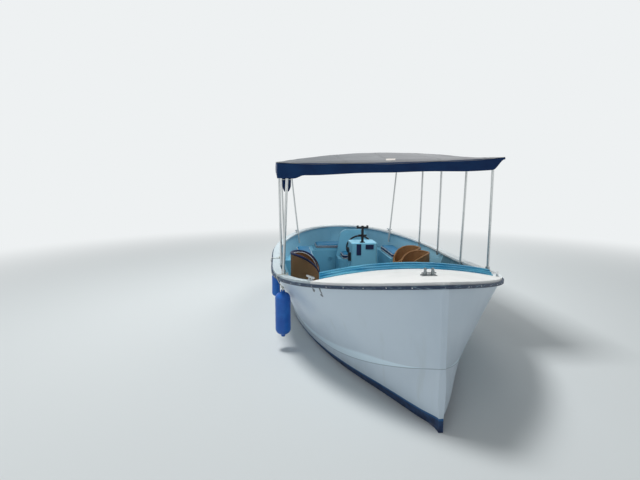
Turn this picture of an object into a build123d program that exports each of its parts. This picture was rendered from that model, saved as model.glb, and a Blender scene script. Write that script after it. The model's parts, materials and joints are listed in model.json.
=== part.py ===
from build123d import *
from math import atan2, cos, degrees, radians, sin, sqrt
import os

os.makedirs("parts", exist_ok=True)

# Open motor launch with a canopy, in millimetres.
# +X is forward, +Y is to port and +Z is up. The origin is amidships, on the centreline, at the waterline.
# Places along the hull are given as s, the distance aft of the stem.

# Hull
loa = 5350.0                 # length over the hull
beam = 2192.0                # breadth at the sheer, amidships
hull_wall = 28.0             # laminate and liner together
entry_length = 2415.0        # the sheer widens over this length from the stem
entry_power = 2.50
entry_root = 1.156
run_start = 3096.0           # the sheer rounds in aft of here
run_power = 1.99
run_root = 2.07
sheer_low = 667.0            # lowest height of the sheer above the water
sheer_low_s = 2690.0
bow_height = 1008.0
stern_height = 762.0
stem_breadth = 30.0          # thickness of the stem and of the keel's flat
form_rise = 60.0             # the hull's form goes on past the sheer by this, and is trimmed back
inner_rise = 90.0            # and so does the body that cuts its inside
stern_wall = 50.0            # shell at the sternpost

# Hull sections: s, keel height, bilge half-breadth, bilge height, chine half-breadth, chine height,
# and the bulge of the bilge's arc as a share of its chord.
hull_table = [
    (0, -50, 16, 100, 18, 435, 0.02),
    (250, -170, 55, -60, 157, 345, 0.12),
    (550, -240, 120, -120, 320, 255, 0.10),
    (950, -290, 220, -170, 485, 170, 0.11),
    (1450, -320, 350, -215, 640, 110, 0.12),
    (2050, -335, 450, -250, 775, 85, 0.15),
    (2750, -340, 520, -265, 870, 80, 0.17),
    (3450, -330, 520, -255, 875, 85, 0.17),
    (4050, -290, 460, -215, 815, 105, 0.16),
    (4550, -225, 360, -150, 690, 140, 0.15),
    (4950, -140, 230, -70, 490, 185, 0.14),
    (5200, -60, 110, 0, 260, 225, 0.12),
    (5330, 0, 34, 60, 70, 250, 0.08),
]

# Edge of the hull
cap_thickness = 20.0
cap_width = 75.0
cap_overhang = 8.0
rail_height = 26.0
rail_depth = 24.0

# Foredeck and its coaming
deck_end_s = 880.0
deck_camber = 88.0           # crown of the deck's aft edge
deck_thickness = 20.0
deck_seat = 0.4              # its clearance on the hull and the rail
coaming_steps = 3
coaming_step_length = 30.0
coaming_step_height = 13.0
coaming_inset = 70.0         # its ends, from the edge of the deck

# Keel and skeg
keel_thickness = 40.0
skeg_bottom = -500.0
skeg_start_s = 700.0
skeg_forefoot_s = 1500.0
skeg_end_s = 4560.0
shoe_height = 30.0
shoe_end_s = 5060.0

# Stern gear
shaft_radius = 12.5
shaft_start_s = 3900.0
shaft_start_z = -190.0
propeller_s = 4700.0
propeller_z = -330.0
propeller_hub_radius = 24.0
propeller_hub_length = 66.0
propeller_blades = 3
motor_size = (340.0, 240.0, 120.0)
motor_rise = 4.0             # middle of the block above the shaft
rudder_s = 4990.0
rudder_stock_radius = 12.0
rudder_stock_top = 190.0
rudder_top = -168.0
rudder_bottom = -455.0
rudder_lead = 60.0           # blade ahead of the stock
rudder_tail = 200.0          # blade behind the stock
rudder_thickness = 24.0
tiller_length = 140.0
bearing_gap = 0.1            # round shafts, on the radius

# Cockpit
sole_top = -20.0
sole_thickness = 30.0
sole_start_s = 700.0
sole_end_s = 4900.0
bench_top = 460.0
bench_start_s = 3700.0       # forward end of the side benches
bench_inner_y = 530.0        # inboard face of the side benches
stern_bench_s = 4500.0       # forward face of the stern bench
panel_thickness = 25.0
soft_gap = 0.4               # clearance of soft pieces
cushion_thickness = 70.0
stern_cushion_thickness = 45.0
side_cushion_width = 230.0
cushion_inset = 12.0
locker_s = 4570.0            # forward edge of the locker's opening
locker_length = 380.0
locker_width = 900.0
lid_lap = 25.0
lid_thickness = 22.0
lid_hinge_radius = 7.0
liner_thickness = 14.0
liner_start_s = 1250.0
liner_end_s = 3000.0
liner_bottom = 330.0

# Round-backed seats: name, s, y, direction they face in degrees from forward
seat_table = [
    ("port_forward", 3080, 700, -78),
    ("port_aft", 3480, 705, -78),
    ("starboard", 3200, -700, 78),
]
seat_radius = 185.0
seat_height = 350.0
seat_thickness = 60.0
seat_wall = 22.0
seat_back_top = 650.0
seat_rim_low = 370.0           # the rim falls to this height at the open side
pedestal_radius = 38.0
pedestal_foot_radius = 64.0

# Helm
console_s = 3400.0
console_length = 330.0
console_y = 105.0            # centre
console_width = 350.0
console_top = 735.0
wheel_radius = 186.0
wheel_rim_radius = 12.0
wheel_tilt = 20.0            # degrees back from vertical
wheel_height = 615.0
wheel_gap = 120.0            # hub behind the console
column_radius = 22.0
spindle_radius = 10.0
helm_seat_s = 4010.0
helm_seat_length = 390.0
helm_seat_width = 520.0
helm_seat_height = 400.0
helm_back_top = 795.0
helm_back_thickness = 50.0
helm_back_top_width = 380.0
helm_corner = 110.0
bracket_height = 225.0
bracket_width = 156.0
bracket_bar = 24.0

# Canopy
tube_radius = 12.5
canopy_cloth = 8.0
valance_bottom = 1680.0
valance_thickness = 5.0
valance_inset = 2.0
canopy_margin = 25.0         # the body that trims the valance is wider than the canopy by this
canopy_seat = 0.3            # clearance of the hoops and the valance under it
valance_reach = 140.0        # its cutting height, past the underside of the canopy
hoop_corner = 70.0
hoop_crown_radius = 900.0
socket_wall = 9.0
# Canopy: s, half-breadth, height of the eaves, crown, at its front edge, each hoop and its aft edge
canopy_table = [
    (1450, 1045, 1785, -22),
    (1500, 1046, 1784, 3),
    (2300, 1060, 1797, 77),
    (3090, 1052, 1801, 90),
    (3770, 1022, 1802, 92),
    (4640, 876, 1800, 92),
    (4900, 815, 1798, 90),
]
canopy_lean = 1.4            # degrees down to starboard, about a line at this height amidships
canopy_pivot = 1790.0
# Hoops: s at the gunwale, s of the top, inset of the top from the canopy's edge, and how far the foot
# goes down inside the gunwale, or none where it stands on the cap
hoop_table = [
    (1600, 1500, 95, 0),
    (2330, 2300, 35, 55),
    (3110, 3090, 35, 55),
    (3760, 3770, 35, 55),
    (4600, 4640, 35, 150),
]
curtain_radius = 45.0
curtain_z = 1650.0
curtain_s = (1575.0, 3500.0)
# Gathered fore end of the curtain, which hangs from the roll: radius and height, from below upwards
curtain_end_table = [(24, 1500), (41, 1545), (43, 1600), (43, 1650)]

# Mooring
bitt_s = 350.0
bitt_post_radius = 11.0
bitt_post_height = 33.0
bitt_head_radius = 9.5        # free end above the cross bar
bitt_head_height = 22.0
bitt_spacing = 54.0
bitt_bar_height = 20.0
bitt_bar_radius = 5.0
bitt_base = (60.0, 104.0, 6.0)
# Cleats: s, distance of the middle from the hull's edge
cleat_table = [(950, 34), (4700, 34)]
cleat_length = 120.0
# Fenders: name, s, y, lowest point, length, radius
fender_table = [
    ("fender_large", 1570, -1004, 130, 455, 73),
    ("fender_small", 2750, -1072, 200, 300, 48),
]
lanyard_radius = 4.0


# Stations that the edge's plan outline and the sheer line pass through
edge_stations = [25, 120, 300, 600, 1000, 1500, 2100, 2750, 3400, 3900, 4300, 4650, 4930, 5130, 5260, 5330]
sheer_stations = [-60, 400, 1000, 1800, 2690, 3600, 4500, 5410]


def clamp(value, low, high):
    return max(low, min(high, value))


def between(table, s):
    """A row of a table whose first column is s, worked out between its rows."""
    for first, last in zip(table, table[1:]):
        if first[0] <= s <= last[0]:
            share = (s - first[0]) / (last[0] - first[0])
            return [a + (b - a) * share for a, b in zip(first, last)]
    return list(table[0] if s < table[0][0] else table[-1])


def along(s):
    return loa / 2 - s


def sheer_breadth(s):
    """Half-breadth of the hull at the sheer."""
    half = beam / 2
    if s < entry_length:
        half *= (1 - (1 - clamp(s / entry_length, 0, 1)) ** entry_power) ** (1 / entry_root)
    if s > run_start:
        share = clamp((s - run_start) / (loa - run_start), 0, 1)
        half *= (1 - share ** run_power) ** (1 / run_root)
    return half


def sheer_height(s):
    """Height of the top of the gunwale cap above the water."""
    end = bow_height if s < sheer_low_s else stern_height
    reach = sheer_low_s if s < sheer_low_s else loa - sheer_low_s
    return sheer_low + (end - sheer_low) * ((s - sheer_low_s) / reach) ** 2


def sheer_slope(s):
    step = 2.0
    return (sheer_breadth(s + step) - sheer_breadth(s - step)) / (2 * step)


def deck_crown(s):
    return max(1.0, deck_camber * sheer_breadth(s) / sheer_breadth(deck_end_s))


def station_plane(s):
    return Plane(origin=(along(s), 0, 0), x_dir=(0, 1, 0), z_dir=(1, 0, 0))


def hull_section(s, inset=0.0):
    """Closed section of the hull's outside, or of a skin inset from it that rises past the sheer."""
    _, keel_z, bilge_y, bilge_z, chine_y, chine_z, bulge = between(hull_table, s)
    top_y, top_z = max(sheer_breadth(s), stem_breadth / 2 + 6), sheer_height(s) - cap_thickness
    half_keel = stem_breadth / 2
    rise = inner_rise if inset else form_rise
    lean = (top_y - chine_y) / (top_z - chine_z)
    if inset:
        share = 1 - inset * sqrt(1 + sheer_slope(s) ** 2) / top_y
        bilge_y, chine_y, top_y = bilge_y * share, chine_y * share, top_y * share
        keel_z, bilge_z, chine_z = keel_z + inset, bilge_z + inset * 0.8, chine_z + inset * 0.3
        half_keel = min(half_keel, bilge_y * 0.5)
    top_y, top_z = top_y + lean * rise, top_z + rise
    chord_y, chord_z = chine_y - bilge_y, chine_z - bilge_z
    middle = (bilge_y + chord_y / 2 + bulge * chord_z, bilge_z + chord_z / 2 - bulge * chord_y)
    with BuildSketch(station_plane(s)) as section:
        with BuildLine():
            Line((top_y, top_z), (chine_y, chine_z))
            ThreePointArc((chine_y, chine_z), middle, (bilge_y, bilge_z))
            Polyline((bilge_y, bilge_z), (half_keel, keel_z), (-half_keel, keel_z), (-bilge_y, bilge_z))
            ThreePointArc((-bilge_y, bilge_z), (-middle[0], middle[1]), (-chine_y, chine_z))
            Polyline((-chine_y, chine_z), (-top_y, top_z), (top_y, top_z))
        make_face()
    return section.sketch


def arched_section(s, half, edge_z, crown, thickness):
    """Closed section of a sheet that is arched across the boat."""
    with BuildSketch(station_plane(s)) as section:
        with BuildLine():
            ThreePointArc((half, edge_z), (0, edge_z + crown), (-half, edge_z))
            Line((-half, edge_z), (-half, edge_z + thickness))
            ThreePointArc((-half, edge_z + thickness), (0, edge_z + crown + thickness),
                          (half, edge_z + thickness))
            Line((half, edge_z + thickness), (half, edge_z))
        make_face()
    return section.sketch


def arc_height(half, crown, y):
    """Height at y of an arc whose ends are at the half-breadth given, measured from those ends."""
    radius = (half ** 2 + crown ** 2) / (2 * abs(crown))
    height = sqrt(radius ** 2 - y ** 2) - sqrt(radius ** 2 - half ** 2)
    return height if crown > 0 else -height


def edge_point(s, inset):
    """Point of the port edge in plan, moved square to the edge by inset, inwards if positive."""
    slope = sheer_slope(s)
    scale = sqrt(1 + slope ** 2)
    return along(s) - inset * slope / scale, sheer_breadth(s) - inset / scale


def edge_outline(inset):
    """Spline right round the hull's edge in plan, at one inset, from the bow back to the bow."""
    points = [edge_point(s, inset) for s in edge_stations]
    points = [(along(0) - inset, 0)] + [point for point in points if point[1] > 25]
    return Spline(*points, (along(loa) + inset, 0), *[(x, -y) for x, y in reversed(points)])


def sheer_slice(low, high):
    """What lies between two heights from the sheer, or under one of them."""
    with BuildPart() as slice_block:
        with BuildSketch(Plane.XZ):
            with BuildLine():
                upper = Spline(*[(along(s), sheer_height(s) + high) for s in sheer_stations])
                if low is None:
                    Polyline(upper @ 0, ((upper @ 0).X, 2 * skeg_bottom), ((upper @ 1).X, 2 * skeg_bottom),
                             upper @ 1)
                else:
                    lower = Spline(*[(along(s), sheer_height(s) + low) for s in sheer_stations])
                    Line(lower @ 0, upper @ 0)
                    Line(lower @ 1, upper @ 1)
            make_face()
        extrude(amount=beam, both=True)
    return slice_block.part


def edge_band(outer, inner, low, high):
    """Ring between two insets from the hull's edge, between two heights from the sheer."""
    with BuildPart() as band:
        with BuildSketch(Plane.XY):
            for inset, mode in ((outer, Mode.ADD), (inner, Mode.SUBTRACT)):
                with BuildLine():
                    edge_outline(inset)
                make_face(mode=mode)
        extrude(amount=bow_height + 300)
        add(sheer_slice(low, high), mode=Mode.INTERSECT)
    return band.part


def station_block(s_range, y_range, z_range, mode=Mode.ADD):
    """Box between two stations, two breadths and two heights."""
    centre = (along(sum(s_range) / 2), sum(y_range) / 2, sum(z_range) / 2)
    with Locations(centre):
        Box(abs(s_range[1] - s_range[0]), y_range[1] - y_range[0], z_range[1] - z_range[0], mode=mode)


def finish(block, label):
    """Name a finished piece and write it."""
    block.part.label = label
    export_step(block.part, f"parts/{label}.step")


hull_stations = [row[0] for row in hull_table]
inner_stations = [200] + hull_stations[2:-1] + [loa - stern_wall]

with BuildPart() as hull_form:
    loft([hull_section(s) for s in hull_stations])

with BuildPart() as hull_inside:
    loft([hull_section(s, hull_wall) for s in inner_stations])

with BuildPart() as liner_inside:
    loft([hull_section(s, hull_wall + liner_thickness) for s in inner_stations])

# The shaft's line, down and aft from the motor to the propeller
shaft_length = sqrt((propeller_s - shaft_start_s) ** 2 + (propeller_z - shaft_start_z) ** 2)
shaft_dir = Vector(-(propeller_s - shaft_start_s), 0, propeller_z - shaft_start_z) / shaft_length
shaft_plane = Plane(origin=(along(shaft_start_s), 0, shaft_start_z), x_dir=(0, 1, 0), z_dir=shaft_dir)
propeller_plane = Plane(origin=(along(propeller_s), 0, propeller_z), x_dir=(0, 1, 0), z_dir=shaft_dir)

# Hull shell
with BuildPart() as hull:
    add(hull_form.part)
    add(sheer_slice(None, -cap_thickness), mode=Mode.INTERSECT)
    add(hull_inside.part, mode=Mode.SUBTRACT)
    with BuildSketch(Plane.XY.offset(skeg_bottom)):
        with Locations((along(rudder_s), 0)):
            Circle(rudder_stock_radius + bearing_gap)
    extrude(amount=-skeg_bottom + rudder_stock_top, mode=Mode.SUBTRACT)
    with BuildSketch(shaft_plane):
        Circle(shaft_radius + bearing_gap)
    extrude(amount=shaft_length, mode=Mode.SUBTRACT)
finish(hull, "hull")

# Gunwale cap, aft of the foredeck
cap_ring = edge_band(-cap_overhang, cap_width, -cap_thickness, 0)
with BuildPart() as gunwale_cap:
    add(cap_ring)
    station_block((-200, deck_end_s), (-beam, beam), (0, 2 * bow_height), Mode.SUBTRACT)
finish(gunwale_cap, "gunwale_cap")

# Foredeck: an arched sheet from edge to edge
deck_stations = [(-cap_overhang, 14.0)] + [(s, sheer_breadth(s) + cap_overhang) for s in (60, 250, 550)]
deck_stations.append((deck_end_s, sheer_breadth(deck_end_s) + cap_overhang))
with BuildPart() as foredeck:
    loft([arched_section(s, half, sheer_height(s) - deck_thickness + deck_seat, deck_crown(s), deck_thickness)
          for s, half in deck_stations])
finish(foredeck, "foredeck")

# Rub rail under the edge of the cap and the foredeck
rail_ring = edge_band(-rail_depth, hull_wall, -cap_thickness - rail_height, -cap_thickness)
with BuildPart() as rub_rail:
    add(rail_ring)
    add(hull_form.part, mode=Mode.SUBTRACT)
finish(rub_rail, "rub_rail")

# Splash coaming: steps that rise behind the foredeck
coaming_half = sheer_breadth(deck_end_s) - coaming_inset
coaming_crown = deck_camber * (coaming_half / sheer_breadth(deck_end_s)) ** 2
coaming_edge = sheer_height(deck_end_s) - deck_thickness + deck_camber - coaming_crown
with BuildPart() as foredeck_coaming:
    for step in range(1, coaming_steps + 1):
        rise = deck_thickness + step * coaming_step_height
        section = arched_section(deck_end_s + step * coaming_step_length, coaming_half, coaming_edge,
                                 coaming_crown, rise)
        extrude(section, amount=coaming_step_length, dir=(1, 0, 0))
    add(gunwale_cap.part, mode=Mode.SUBTRACT)
finish(foredeck_coaming, "foredeck_coaming")

# Keel, skeg and the shoe that carries the rudder's heel
with BuildPart() as keel:
    with BuildSketch(Plane.XZ):
        with BuildLine():
            Polyline((along(skeg_start_s), 0), (along(skeg_start_s), -250),
                     (along(skeg_forefoot_s), -400), (along(skeg_end_s - 900), skeg_bottom),
                     (along(shoe_end_s), skeg_bottom), (along(shoe_end_s), skeg_bottom + shoe_height),
                     (along(skeg_end_s), skeg_bottom + shoe_height), (along(skeg_end_s), 0), close=True)
        make_face()
    extrude(amount=keel_thickness / 2, both=True)
    add(hull_form.part, mode=Mode.SUBTRACT)
    with BuildSketch(shaft_plane):
        Circle(shaft_radius + bearing_gap)
    extrude(amount=shaft_length, mode=Mode.SUBTRACT)
    with Locations((along(rudder_s), 0, skeg_bottom + shoe_height / 2)):
        Cylinder(rudder_stock_radius + bearing_gap, shoe_height, mode=Mode.SUBTRACT)
finish(keel, "keel")

# Propeller blade sections: distance from the axis, chord, thickness, pitch in degrees
blade_table = [(16, 40, 9, 58), (52, 78, 7, 40), (84, 72, 5, 30), (105, 34, 3, 25)]


def blade_section(radial, distance, chord, thickness, pitch):
    section_plane = Plane(origin=propeller_plane.origin + radial * distance, x_dir=shaft_dir, z_dir=radial)
    with BuildSketch(section_plane.rotated((0, 0, 90 + pitch))) as section:
        with BuildLine():
            ThreePointArc((chord / 2, 0), (0, thickness / 2), (-chord / 2, 0))
            ThreePointArc((-chord / 2, 0), (0, -thickness / 2), (chord / 2, 0))
        make_face()
    return section.sketch


# Motor block, propeller shaft and propeller
with BuildPart() as motor:
    with BuildSketch(shaft_plane.offset(-soft_gap)):
        with Locations((0, -motor_rise)):
            Rectangle(motor_size[1], motor_size[2])
    extrude(amount=-motor_size[0])
finish(motor, "motor")

with BuildPart() as propeller_shaft:
    with BuildSketch(shaft_plane):
        Circle(shaft_radius)
    extrude(amount=shaft_length - propeller_hub_length / 2)
finish(propeller_shaft, "propeller_shaft")

with BuildPart() as propeller:
    with BuildSketch(propeller_plane.offset(-propeller_hub_length / 2)):
        Circle(propeller_hub_radius)
    extrude(amount=propeller_hub_length)
    with BuildSketch(propeller_plane.offset(propeller_hub_length / 2)):
        Circle(propeller_hub_radius)
    extrude(amount=propeller_hub_radius, taper=35)
    for blade in range(propeller_blades):
        around = radians(blade * 360 / propeller_blades)
        radial = propeller_plane.x_dir * cos(around) + propeller_plane.y_dir * sin(around)
        loft([blade_section(radial, *row) for row in blade_table])
finish(propeller, "propeller")

# Rudder on its stock, with a tiller arm inside the hull
with BuildPart() as rudder:
    with BuildSketch(Plane.XY.offset(skeg_bottom + 2)):
        with Locations((along(rudder_s), 0)):
            Circle(rudder_stock_radius)
    extrude(amount=rudder_stock_top - skeg_bottom - 2)
    with BuildSketch(Plane.XZ):
        with BuildLine():
            Polyline((along(rudder_s - rudder_lead), rudder_bottom),
                     (along(rudder_s - rudder_lead), rudder_top),
                     (along(rudder_s + rudder_tail * 0.7), rudder_top),
                     (along(rudder_s + rudder_tail), rudder_top - 90),
                     (along(rudder_s + rudder_tail), rudder_bottom), close=True)
        make_face()
    extrude(amount=rudder_thickness / 2, both=True)
    station_block((rudder_s - tiller_length, rudder_s + 22), (-18, 18),
                  (rudder_stock_top - 24, rudder_stock_top))
finish(rudder, "rudder")

# Sole and benches, fitted to the inside of the hull
with BuildPart() as sole:
    station_block((sole_start_s, sole_end_s), (-beam, beam), (sole_top - sole_thickness, sole_top))
    add(hull_inside.part, mode=Mode.INTERSECT)
    with Locations((along(rudder_s), 0, sole_top)):
        Cylinder(rudder_stock_radius * 2.5, 4 * sole_thickness, mode=Mode.SUBTRACT)
finish(sole, "sole")

for side, sign in (("port", 1), ("starboard", -1)):
    bench_y = sorted((sign * bench_inner_y, sign * beam / 2))
    with BuildPart() as side_bench:
        station_block((bench_start_s, stern_bench_s), bench_y, (sole_top, bench_top))
        add(hull_inside.part, mode=Mode.INTERSECT)
    finish(side_bench, f"side_bench_{side}")
    cushion_y = sorted(sign * (bench_inner_y + y)
                       for y in (cushion_inset, cushion_inset + side_cushion_width))
    with BuildPart() as side_cushion:
        station_block((bench_start_s + cushion_inset, stern_bench_s - cushion_inset), cushion_y,
                      (bench_top + soft_gap, bench_top + soft_gap + cushion_thickness))
        fillet(side_cushion.edges().filter_by(Axis.Z), 25)
    finish(side_cushion, f"side_cushion_{side}")

with BuildPart() as stern_bench:
    station_block((stern_bench_s, stern_bench_s + panel_thickness), (-beam, beam),
                  (sole_top, bench_top - panel_thickness))
    station_block((stern_bench_s, loa), (-beam, beam), (bench_top - panel_thickness, bench_top))
    add(hull_inside.part, mode=Mode.INTERSECT)
    station_block((locker_s, locker_s + locker_length), (-locker_width / 2, locker_width / 2),
                  (bench_top - 2 * panel_thickness, bench_top + 1), Mode.SUBTRACT)
finish(stern_bench, "stern_bench")

lid_base = bench_top + 0.3
lid_end_s = locker_s + locker_length + lid_lap
hinge_z = lid_base + lid_hinge_radius
with BuildPart() as locker_lid:
    station_block((locker_s - lid_lap, lid_end_s), (-locker_width / 2 - lid_lap, locker_width / 2 + lid_lap),
                  (lid_base, lid_base + lid_thickness))
    fillet(locker_lid.edges().filter_by(Axis.Z), 12)
finish(locker_lid, "locker_lid")

with BuildPart() as lid_hinges:
    for hinge_y in (-locker_width * 0.3, locker_width * 0.3):
        hinge_centre = (along(lid_end_s) - lid_hinge_radius - 0.3, hinge_y, hinge_z - 0.3)
        with Locations(Location(hinge_centre, (90, 0, 0))):
            Cylinder(lid_hinge_radius, 80)
        station_block((lid_end_s + lid_hinge_radius, lid_end_s + 40), (hinge_y - 40, hinge_y + 40),
                      (bench_top, bench_top + 4))
finish(lid_hinges, "lid_hinges")

with BuildPart() as stern_cushion:
    station_block((locker_s - lid_lap + cushion_inset, lid_end_s - cushion_inset),
                  (-locker_width / 2 - lid_lap + cushion_inset, locker_width / 2 + lid_lap - cushion_inset),
                  (lid_base + lid_thickness + soft_gap,
                   lid_base + lid_thickness + soft_gap + stern_cushion_thickness))
    fillet(stern_cushion.edges().filter_by(Axis.Z), 25)
finish(stern_cushion, "stern_cushion")

# Forward side panels, on the inside of the hull under the cap
liner_stations = [liner_start_s + (liner_end_s - liner_start_s) * share / 4 for share in range(5)]
for side, sign in (("port", 1), ("starboard", -1)):
    with BuildPart() as side_panel:
        with BuildSketch(Plane.XZ):
            with BuildLine():
                top = Spline(*[(along(s), sheer_height(s) - cap_thickness - 2) for s in liner_stations])
                Polyline(top @ 0, (along(liner_start_s), liner_bottom + 100),
                         (along(liner_end_s), liner_bottom), top @ 1)
            make_face()
        extrude(amount=-sign * beam / 2)
        add(hull_inside.part, mode=Mode.INTERSECT)
        add(liner_inside.part, mode=Mode.SUBTRACT)
    finish(side_panel, f"side_panel_{side}")

# Round-backed seats on pedestals
with BuildPart() as seat_pedestals:
    post_height = seat_height - seat_thickness - sole_top
    for radius, height in ((pedestal_foot_radius, 12), (pedestal_radius, post_height)):
        with BuildSketch(Plane.XY.offset(sole_top)):
            with Locations([(along(s), y) for _, s, y, _ in seat_table]):
                Circle(radius)
        extrude(amount=height)
finish(seat_pedestals, "seat_pedestals")

for name, s, y, facing in seat_table:
    seat_plane = Plane(origin=(along(s), y, 0), x_dir=(cos(radians(facing)), sin(radians(facing)), 0))
    with BuildPart() as tub_seat:
        with BuildSketch(seat_plane.offset(seat_height - seat_thickness)):
            Circle(seat_radius)
        extrude(amount=seat_back_top - seat_height + seat_thickness + 15)
        with BuildSketch(seat_plane.offset(seat_height)):
            Circle(seat_radius - seat_wall)
        extrude(amount=seat_back_top, mode=Mode.SUBTRACT)
        with BuildSketch(Plane(origin=seat_plane.origin, x_dir=seat_plane.x_dir,
                               z_dir=seat_plane.x_dir.cross(Vector(0, 0, 1)))):
            with BuildLine():
                rim = EllipticalCenterArc((-0.9 * seat_radius, seat_rim_low), 1.9 * seat_radius,
                                          seat_back_top - seat_rim_low, 0, arc_size=90)
                Polyline(rim @ 0, (seat_radius + 10, seat_rim_low), (seat_radius + 10, seat_back_top + 30),
                         (-seat_radius - 10, seat_back_top + 30), (-seat_radius - 10, seat_back_top), rim @ 1)
            make_face()
        extrude(amount=seat_radius + 10, both=True, mode=Mode.SUBTRACT)
    finish(tub_seat, f"tub_seat_{name}")

# Helm console with its panels
console_end_s = console_s + console_length
console_sides = (console_y - console_width / 2, console_y + console_width / 2)
with BuildPart() as console:
    station_block((console_s, console_end_s), console_sides, (sole_top, console_top))
    fillet(console.edges().filter_by(Axis.Z), 30)
    fillet(console.faces().sort_by(Axis.Z)[-1].edges(), 14)
    station_block((console_s + panel_thickness, console_end_s - panel_thickness),
                  (console_sides[0] + panel_thickness, console_sides[1] - panel_thickness),
                  (sole_top - 1, console_top - panel_thickness), Mode.SUBTRACT)
finish(console, "console")

# Panels on the console's front: distance from its starboard side, height, breadth, depth down
panel_table = [(68, 720, 62, 150), (190, 712, 108, 62)]
with BuildPart() as console_panels:
    for offset_y, top_z, width, drop in panel_table:
        low_y = console_sides[0] + offset_y
        station_block((console_s - 6, console_s), (low_y, low_y + width), (top_z - drop, top_z))
finish(console_panels, "console_panels")

# Steering wheel on its column
tilt = radians(wheel_tilt)
wheel_dir = Vector(-cos(tilt), 0, sin(tilt))
wheel_centre = Vector(along(console_end_s + wheel_gap), console_y, wheel_height)
wheel_plane = Plane(origin=wheel_centre, x_dir=(0, 1, 0), z_dir=wheel_dir)
column_end = -34.0
with BuildPart() as steering_column:
    with BuildSketch(wheel_plane.offset(column_end)):
        Circle(column_radius)
    extrude(amount=-wheel_gap - 60)
    station_block((console_s, console_end_s), console_sides, (sole_top, console_top), Mode.SUBTRACT)
    with BuildSketch(wheel_plane.offset(column_end)):
        Circle(spindle_radius + bearing_gap)
    extrude(amount=-32, mode=Mode.SUBTRACT)
finish(steering_column, "steering_column")

with BuildPart() as steering_wheel:
    with BuildSketch(wheel_plane.offset(column_end + 6)):
        Circle(30)
    extrude(amount=-column_end + 6)
    with BuildSketch(wheel_plane.offset(column_end - 30)):
        Circle(spindle_radius)
    extrude(amount=40)
    with BuildSketch(Plane(origin=wheel_centre, x_dir=(0, 1, 0), z_dir=wheel_dir.cross(Vector(0, 1, 0)))):
        with Locations((wheel_radius - wheel_rim_radius, 0)):
            Circle(wheel_rim_radius)
    revolve(axis=Axis(wheel_centre, wheel_dir))
    for spoke in range(3):
        with BuildSketch(wheel_plane.offset(-4)):
            with PolarLocations(0, 1, start_angle=90 + spoke * 120):
                with Locations((wheel_radius / 2, 0)):
                    Rectangle(wheel_radius - wheel_rim_radius, 26)
        extrude(amount=8)
finish(steering_wheel, "steering_wheel")

# Throttle on the console's starboard side
throttle_x = along(console_s + 70)
with BuildPart() as throttle:
    with Locations((throttle_x, console_sides[0] - 18, 545)):
        Box(70, 36, 110)
    with BuildSketch(Plane.XZ.offset(-console_sides[0] + 22)):
        with BuildLine():
            Polyline((throttle_x - 9, 530), (throttle_x + 9, 530), (throttle_x + 32, 650),
                     (throttle_x + 14, 650), close=True)
        make_face()
    extrude(amount=14)
    with Locations((throttle_x + 24, console_sides[0] - 44, 658)):
        Sphere(19)
finish(throttle, "throttle")

# Instrument bracket on top of the console
bracket_x = along(console_s + 60)
with BuildPart() as instrument_bracket:
    with Locations((bracket_x, console_y - 20, console_top + 5)):
        Box(60, 60, 10)
    with Locations((bracket_x, console_y - 20, console_top + bracket_height / 2)):
        Box(bracket_bar + 6, bracket_bar + 6, bracket_height)
    with Locations((bracket_x, console_y - 20, console_top + bracket_height * 0.42)):
        Box(bracket_bar, bracket_width * 0.72, bracket_bar)
    with Locations((bracket_x, console_y - 20, console_top + bracket_height - bracket_bar)):
        Box(bracket_bar, bracket_width, bracket_bar)
    for end in (-1, 1):
        with Locations((bracket_x, console_y - 20 + end * (bracket_width - bracket_bar) / 2,
                        console_top + bracket_height - bracket_bar + 14)):
            Box(bracket_bar, bracket_bar, 28)
finish(instrument_bracket, "instrument_bracket")

# Moulded helm seat
helm_seat_end = helm_seat_s + helm_seat_length
with BuildPart() as helm_seat:
    station_block((helm_seat_s, helm_seat_end),
                  (console_y - helm_seat_width / 2, console_y + helm_seat_width / 2),
                  (sole_top, helm_seat_height))
    fillet(helm_seat.edges().filter_by(Axis.Z).sort_by(Axis.X)[-2:], helm_corner)
    with BuildSketch(station_plane(helm_seat_end)) as back_outline:
        with BuildLine():
            Polyline((console_y - helm_seat_width / 2, helm_seat_height - 60),
                     (console_y - helm_seat_width / 2, helm_seat_height),
                     (console_y - helm_back_top_width / 2, helm_back_top),
                     (console_y + helm_back_top_width / 2, helm_back_top),
                     (console_y + helm_seat_width / 2, helm_seat_height),
                     (console_y + helm_seat_width / 2, helm_seat_height - 60), close=True)
        make_face()
        fillet(back_outline.vertices().sort_by(Axis.Y)[-2:], 95)
    extrude(amount=helm_back_thickness)
finish(helm_seat, "helm_seat")

with BuildPart() as helm_cushion:
    station_block((helm_seat_s + cushion_inset, helm_seat_end - helm_back_thickness - soft_gap),
                  (console_y - helm_seat_width / 2 + 40, console_y + helm_seat_width / 2 - 40),
                  (helm_seat_height + soft_gap, helm_seat_height + soft_gap + cushion_thickness))
    fillet(helm_cushion.edges().filter_by(Axis.Z).sort_by(Axis.X)[-2:], helm_corner - 40)
finish(helm_cushion, "helm_cushion")

# Canopy cloth and its valance
with BuildPart() as canopy_top:
    loft([arched_section(s, half, edge_z, crown, canopy_cloth) for s, half, edge_z, crown in canopy_table],
         ruled=True)
canopy_frame = Location((0, 0, canopy_pivot), (canopy_lean, 0, 0)) * Location((0, 0, -canopy_pivot))
canopy_top.part.locate(canopy_frame)
finish(canopy_top, "canopy_top")

with BuildPart() as canopy_space:
    sections = []
    for s, half, edge_z, crown in canopy_table:
        fall = arc_height(half, crown, half + canopy_margin)
        sections.append(arched_section(s, half + canopy_margin, edge_z + fall - canopy_seat, crown - fall,
                                       2 * valance_reach))
    loft(sections, ruled=True)

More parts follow.
